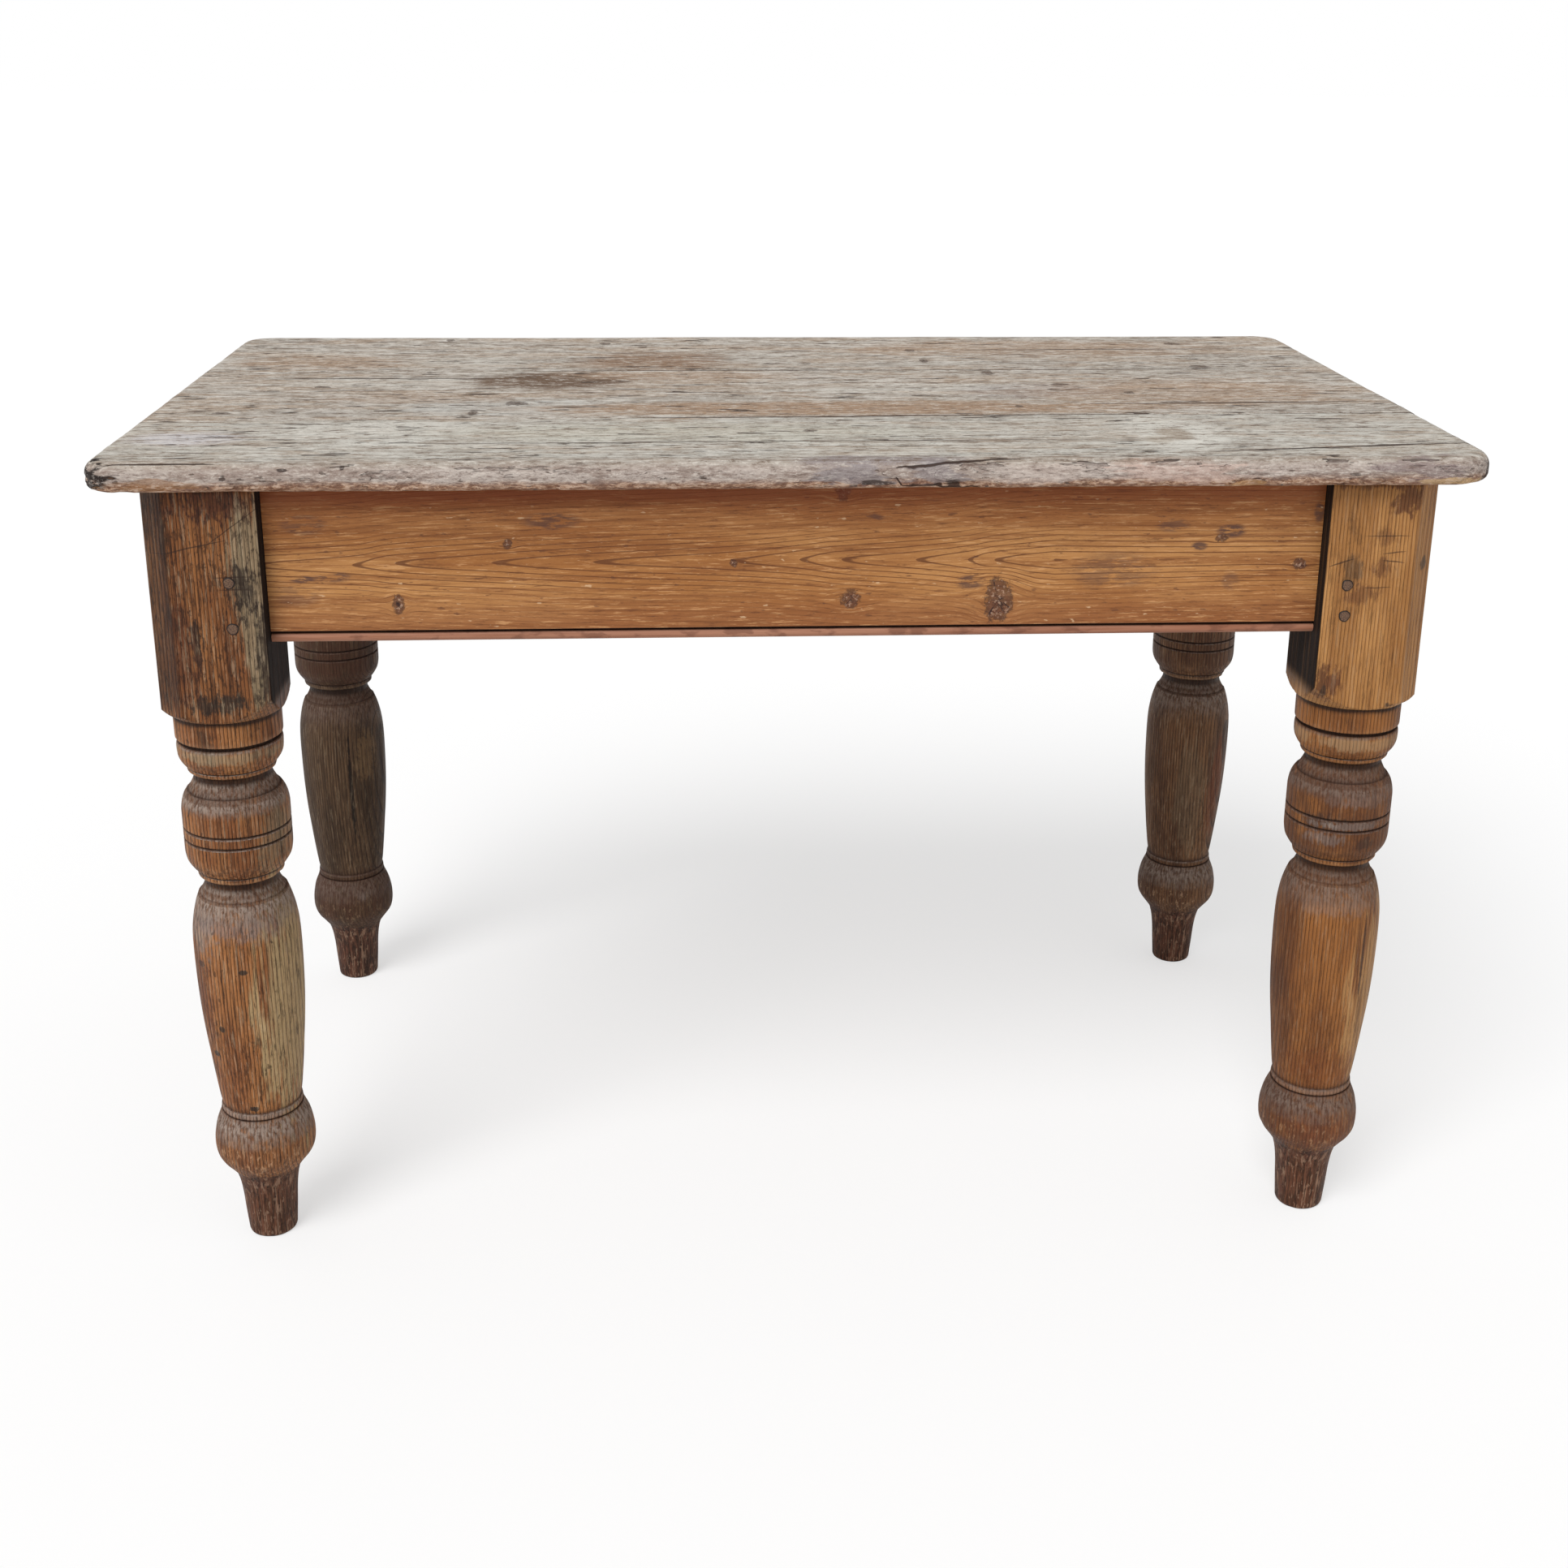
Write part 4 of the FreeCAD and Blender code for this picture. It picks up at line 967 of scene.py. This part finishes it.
def waxed_pine(name, turned, heart, knots, lean=0.03, bruises=(), tips=()):
    """Apron finish: honey-brown pine with pointed arches of darker grain, knots, bruises and a redder bead.

    The arches are evenly spaced, or have their tips at the given places along the board. A turned apron runs
    from front to back. Knots and bruises are a place along the board, a height and the reach each way.
    """
    material, nodes = new_material(name)
    place = nodes.add("TexCoord", {}, "Object")
    x, y, z = (nodes.part(place, axis) for axis in "XYZ")
    up = nodes.minus(z, apron_middle)
    along = nodes.join(y, up, x) if turned else nodes.join(x, up, nodes.times(y, -1.0))
    bent, cores, darks = add_knots(nodes, along, [(spot, height - apron_middle, *reach)
                                                  for spot, height, *reach in knots])
    ring = 0.0032
    grown = bent
    if tips:
        even_x = even_out(nodes, nodes.part(bent, "X"), heart[0], ring / lean, tips)
        grown = nodes.join(even_x, nodes.part(bent, "Y"), nodes.part(bent, "Z"))
    latewood = nodes.group(pine_grain, Vector=grown, Heart=heart, Lean=lean, Ring=ring, Wander=0.01,
                           Point=1.0)["Latewood"]
    streak = nodes.noise(bent, (5.0, 170.0, 60.0), 4.0, 0.6)
    broad = nodes.noise(along, (4.0, 16.0, 9.0), 3.0, 0.55, 0.4)
    hair = nodes.noise(bent, (30.0, 400.0, 260.0), 4.0, 0.8)

    colour = nodes.mix(nodes.step(broad, 0.36, 0.64), (154, 100, 52), (178, 126, 74))
    # The upper part is redder and a little darker: partly the wood's own tone, partly painted shade under the
    # top.
    colour = nodes.mix(nodes.step(up, 0.01, 0.066, 0.0, 0.5), colour, (154, 80, 40))
    colour = nodes.mix(nodes.step(up, -0.02, -0.056, 0.0, 0.62), colour, (134, 80, 46))
    colour = nodes.layers(colour, [
        (streak, 0.46, 0.62, 0.58, (130, 78, 40)), (hair, 0.45, 0.37, 0.56, (206, 156, 106)),
        (hair, 0.56, 0.63, 0.62, (98, 56, 31))])
    from_arches = nodes.math("ABSOLUTE", nodes.minus(up, heart[1]))
    near_arches = nodes.step(from_arches, 0.016, 0.032, 0.76, 0.26)
    colour = nodes.lay(colour, (88, 46, 22), nodes.step(latewood, 0.62, 0.97), near_arches)

    mottle = nodes.step(nodes.noise(along, (50.0, 240.0, 60.0), 4.0, 0.7), 0.42, 0.52)
    for spot, height, reach_x, reach_y, share in bruises:
        patch = nodes.spot(along, (spot, height - apron_middle, outer_face), (reach_x, reach_y, 0.06))
        colour = nodes.lay(colour, (74, 52, 50), nodes.step(patch, 0.0, 0.5), mottle, share)
    specks = nodes.noise(along, (90.0, 260.0, 90.0), 2.0)
    colour = nodes.layers(colour, [
        (specks, 0.68, 0.74, 0.6, (92, 56, 38)), (specks, 0.29, 0.24, 0.6, (214, 180, 142))])
    crumbs = nodes.step(nodes.noise(along, 340.0, 3.0, 0.7), 0.54, 0.62)
    colour = nodes.lay(colour, (88, 54, 42), cores, 0.74)
    colour = nodes.lay(colour, (42, 24, 22), darks, 0.92)
    colour = nodes.lay(colour, (182, 150, 126), cores, crumbs, 0.6)

    # Painted shadow: a narrow strip just below the top's overhang is darkened to deep red-brown, more on the
    # left than on the right.
    shadow_under_top = nodes.times(nodes.step(up, 0.043, 0.059), nodes.step(x, -0.1, 0.25, 0.76, 0.48))
    colour = nodes.mix(shadow_under_top, colour, (112, 48, 10))
    bead_colour = nodes.mix(nodes.step(streak, 0.35, 0.65), (142, 92, 68), (164, 116, 92))
    bead_wear = nodes.noise(along, (40.0, 90.0, 60.0))
    bead_colour = nodes.layers(bead_colour, [(bead_wear, 0.52, 0.64, 0.5, (96, 56, 40))])
    colour = nodes.mix(nodes.step(z, bead_top, 0.615), colour, bead_colour)
    quirk = nodes.times(nodes.step(z, bead_top, 0.6152), nodes.step(z, 0.6118, 0.6132))
    colour = nodes.lay(colour, (40, 20, 13), quirk, 0.9)

    relief = nodes.plus(nodes.times(latewood, 0.5), nodes.times(hair, 0.4), nodes.times(streak, 0.4))
    roughness = nodes.add("MapRange", {0: streak, 1: 0.3, 2: 0.7, 3: 0.42, 4: 0.6})
    nodes.coat(colour, roughness, relief, 0.5, 0.0006, specular=0.24)
    return material


def refinish(node, material):
    """Gives a piece of the frame the one finish."""
    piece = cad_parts[node]
    piece.data.materials.clear()
    piece.data.materials.append(material)


refinish("apron_front", waxed_pine(
    "front_apron_finish", False, (0.183, -0.001, 0.302),
    [(-0.3463, 0.6384, 0.0045, 0.0085), (-0.2513, 0.6909, 0.0042, 0.0042), (0.0439, 0.639, 0.0078, 0.0082),
     (0.0362, 0.736, 0.0065, 0.0085), (0.1736, 0.6375, 0.0115, 0.02), (-0.0578, 0.6728, 0.003, 0.003),
     (0.3675, 0.6919, 0.005, 0.0035), (0.4393, 0.6686, 0.006, 0.005)],
    0.038,
    [(-0.2133, 0.7113, 0.03, 0.01, 0.6), (-0.3999, 0.6635, 0.02, 0.006, 0.7),
     (-0.4261, 0.6615, 0.014, 0.004, 0.8), (-0.4226, 0.7092, 0.025, 0.012, 0.45),
     (-0.4319, 0.6479, 0.025, 0.014, 0.35), (0.1487, 0.6542, 0.016, 0.008, 0.7),
     (0.376, 0.6985, 0.016, 0.008, 0.8), (0.3486, 0.6847, 0.009, 0.005, 0.8),
     (0.3237, 0.7038, 0.018, 0.008, 0.5), (0.2741, 0.6634, 0.045, 0.022, 0.4),
     (0.0589, 0.7122, 0.016, 0.005, 0.6), (0.3784, 0.6529, 0.01, 0.01, 0.4),
     (0.4524, 0.7145, 0.006, 0.012, 0.7)],
    [-0.47, -0.382, -0.346, -0.263, -0.176, -0.0587, 0.0004, 0.0368, 0.1016, 0.1465, 0.17]))
for side, turned, heart, side_knot in (("back", False, (-0.25, 0.012, -0.33), (0.12, 0.66, 0.007, 0.009)),
                                       ("left", True, (0.08, 0.01, -0.57), (-0.09, 0.69, 0.006, 0.007)),
                                       ("right", True, (-0.06, -0.01, 0.51), (0.07, 0.65, 0.007, 0.007))):
    refinish("apron_" + side, waxed_pine(side + "_apron_finish", turned, heart, [side_knot]))


# Pegs: whittled pins that hold the tenons, driven in from the outer faces of the leg heads.
# Their cut ends stand a hair proud and have gone dark.
peg_radius, peg_depth, peg_stand = 0.0052, 0.06, 0.0005
peg_sides = 18
peg_ends = {
    "front_left": [("y", -0.485, 0.6225), ("y", -0.485, 0.663), ("x", -0.243, 0.6245), ("x", -0.243, 0.6525)],
    "front_right": [("y", 0.478, 0.6245), ("y", 0.478, 0.6525), ("x", -0.25, 0.6225), ("x", -0.25, 0.663)],
    "back_right": [("x", 0.243, 0.6245), ("x", 0.243, 0.6525), ("y", 0.485, 0.6225), ("y", 0.485, 0.663)],
    "back_left": [("y", -0.478, 0.6245), ("y", -0.478, 0.6525), ("x", 0.25, 0.6225), ("x", 0.25, 0.663)],
}


def pegs(name, corner, way_x, way_y):
    """Four pins: rings of uneven radius from the point outwards, with a rounded edge at the cut end."""
    angles = np.arange(peg_sides) * 2 * math.pi / peg_sides
    depths = np.array([peg_depth, 0.048, 0.02, 0.0004, -0.6 * peg_stand, -peg_stand, -peg_stand])
    shares = np.array([0.62, 1.0, 1.0, 1.0, 0.9, 0.72, 0.25])
    size = len(depths) * peg_sides
    pins, faces = [], []
    for number, (axis, place, height) in enumerate(peg_ends[corner]):
        uneven = 1 + 0.045 * np.sin(3 * angles + number) + 0.03 * np.sin(5 * angles + 2 * number + way_x)
        radius = peg_radius * shares[:, None] * uneven
        across, up = place + radius * np.cos(angles), height + radius * np.sin(angles)
        inwards = np.broadcast_to(depths[:, None], radius.shape)
        if axis == "y":
            pins.append(np.stack([across, way_y * (leg_centre_y + half_head - inwards), up], axis=-1))
        else:
            pins.append(np.stack([way_x * (leg_centre_x + half_head - inwards), across, up], axis=-1))
        numbers = list(range(number * size, (number + 1) * size))
        faces += ring_faces(len(depths), peg_sides, number * size)
        faces += [numbers[:peg_sides], numbers[-peg_sides:]]
    piece = solid(name, np.stack(pins), faces)
    outline = shares * (depths < 0.001) > 0.85
    keep_values(piece, "outline", np.tile(np.repeat(outline, peg_sides), len(pins)))
    return piece


peg_finish, nodes = new_material("peg_finish")
place = nodes.add("TexCoord", {}, "Object")
speckle = nodes.noise(place, 900.0, 3.0, 0.6)
colour = nodes.mix(nodes.step(speckle, 0.35, 0.65), (70, 47, 35), (118, 90, 69))
colour = nodes.layers(colour, [(nodes.noise(place, 120.0, 2.0), 0.5, 0.7, 0.5, (58, 40, 31))])
outline = nodes.add("Attribute", {}, "Fac", attribute_name="outline")
colour = nodes.mix(nodes.step(outline, 0.2, 0.8), colour, (30, 20, 15))
nodes.coat(colour, nodes.step(speckle, 0.2, 0.8, 0.5, 0.7), speckle, 0.6, 0.0004, specular=0.35)
for corner, values in legs.items():
    piece = pegs("peg_ends_" + corner, corner, *values[:2])
    piece.data.materials.append(peg_finish)
    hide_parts("pegs_" + corner)
    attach(piece, "root")


# Tongues and glue blocks: bare sawn pine that nobody ever sees, let into the seams of the top or rubbed
# with glue into the corners under it.
bare_pine, nodes = new_material("bare_pine")
place = nodes.add("TexCoord", {}, "Object")
saw_marks = nodes.noise(place, (260.0, 260.0, 40.0), 3.0, 0.6)
tone = nodes.noise(place, (9.0, 9.0, 30.0))
colour = nodes.mix(nodes.step(tone, 0.35, 0.65), (150, 110, 74), (184, 146, 106))
colour = nodes.layers(colour, [(saw_marks, 0.45, 0.7, 0.5, (118, 82, 54))])
roughness = nodes.step(saw_marks, 0.2, 0.8, 0.7, 0.85)
nodes.coat(colour, roughness, saw_marks, 0.5, 0.0005, specular=0.25)
for node in ("tongue_front", "tongue_back", "glue_blocks_front", "glue_blocks_back", "glue_blocks_left",
             "glue_blocks_right"):
    refinish(node, bare_pine)


# Screws: dull iron wood screws in gouged pockets, which pull the top down on the aprons.
# They have rusted brown where the bright metal has gone.
rusted_iron, nodes = new_material("rusted_iron")
rust = nodes.noise(nodes.add("TexCoord", {}, "Object"), 420.0, 4.0, 0.65)
colour = nodes.mix(nodes.step(rust, 0.42, 0.58), (92, 88, 84), (98, 62, 42))
bright = nodes.step(rust, 0.42, 0.58, 1.0, 0.0)
nodes.coat(colour, nodes.step(rust, 0.3, 0.7, 0.42, 0.8), rust, 0.5, 0.0002, metallic=bright)
for node in ("screws_front", "screws_right", "screws_back", "screws_left"):
    refinish(node, rusted_iron)
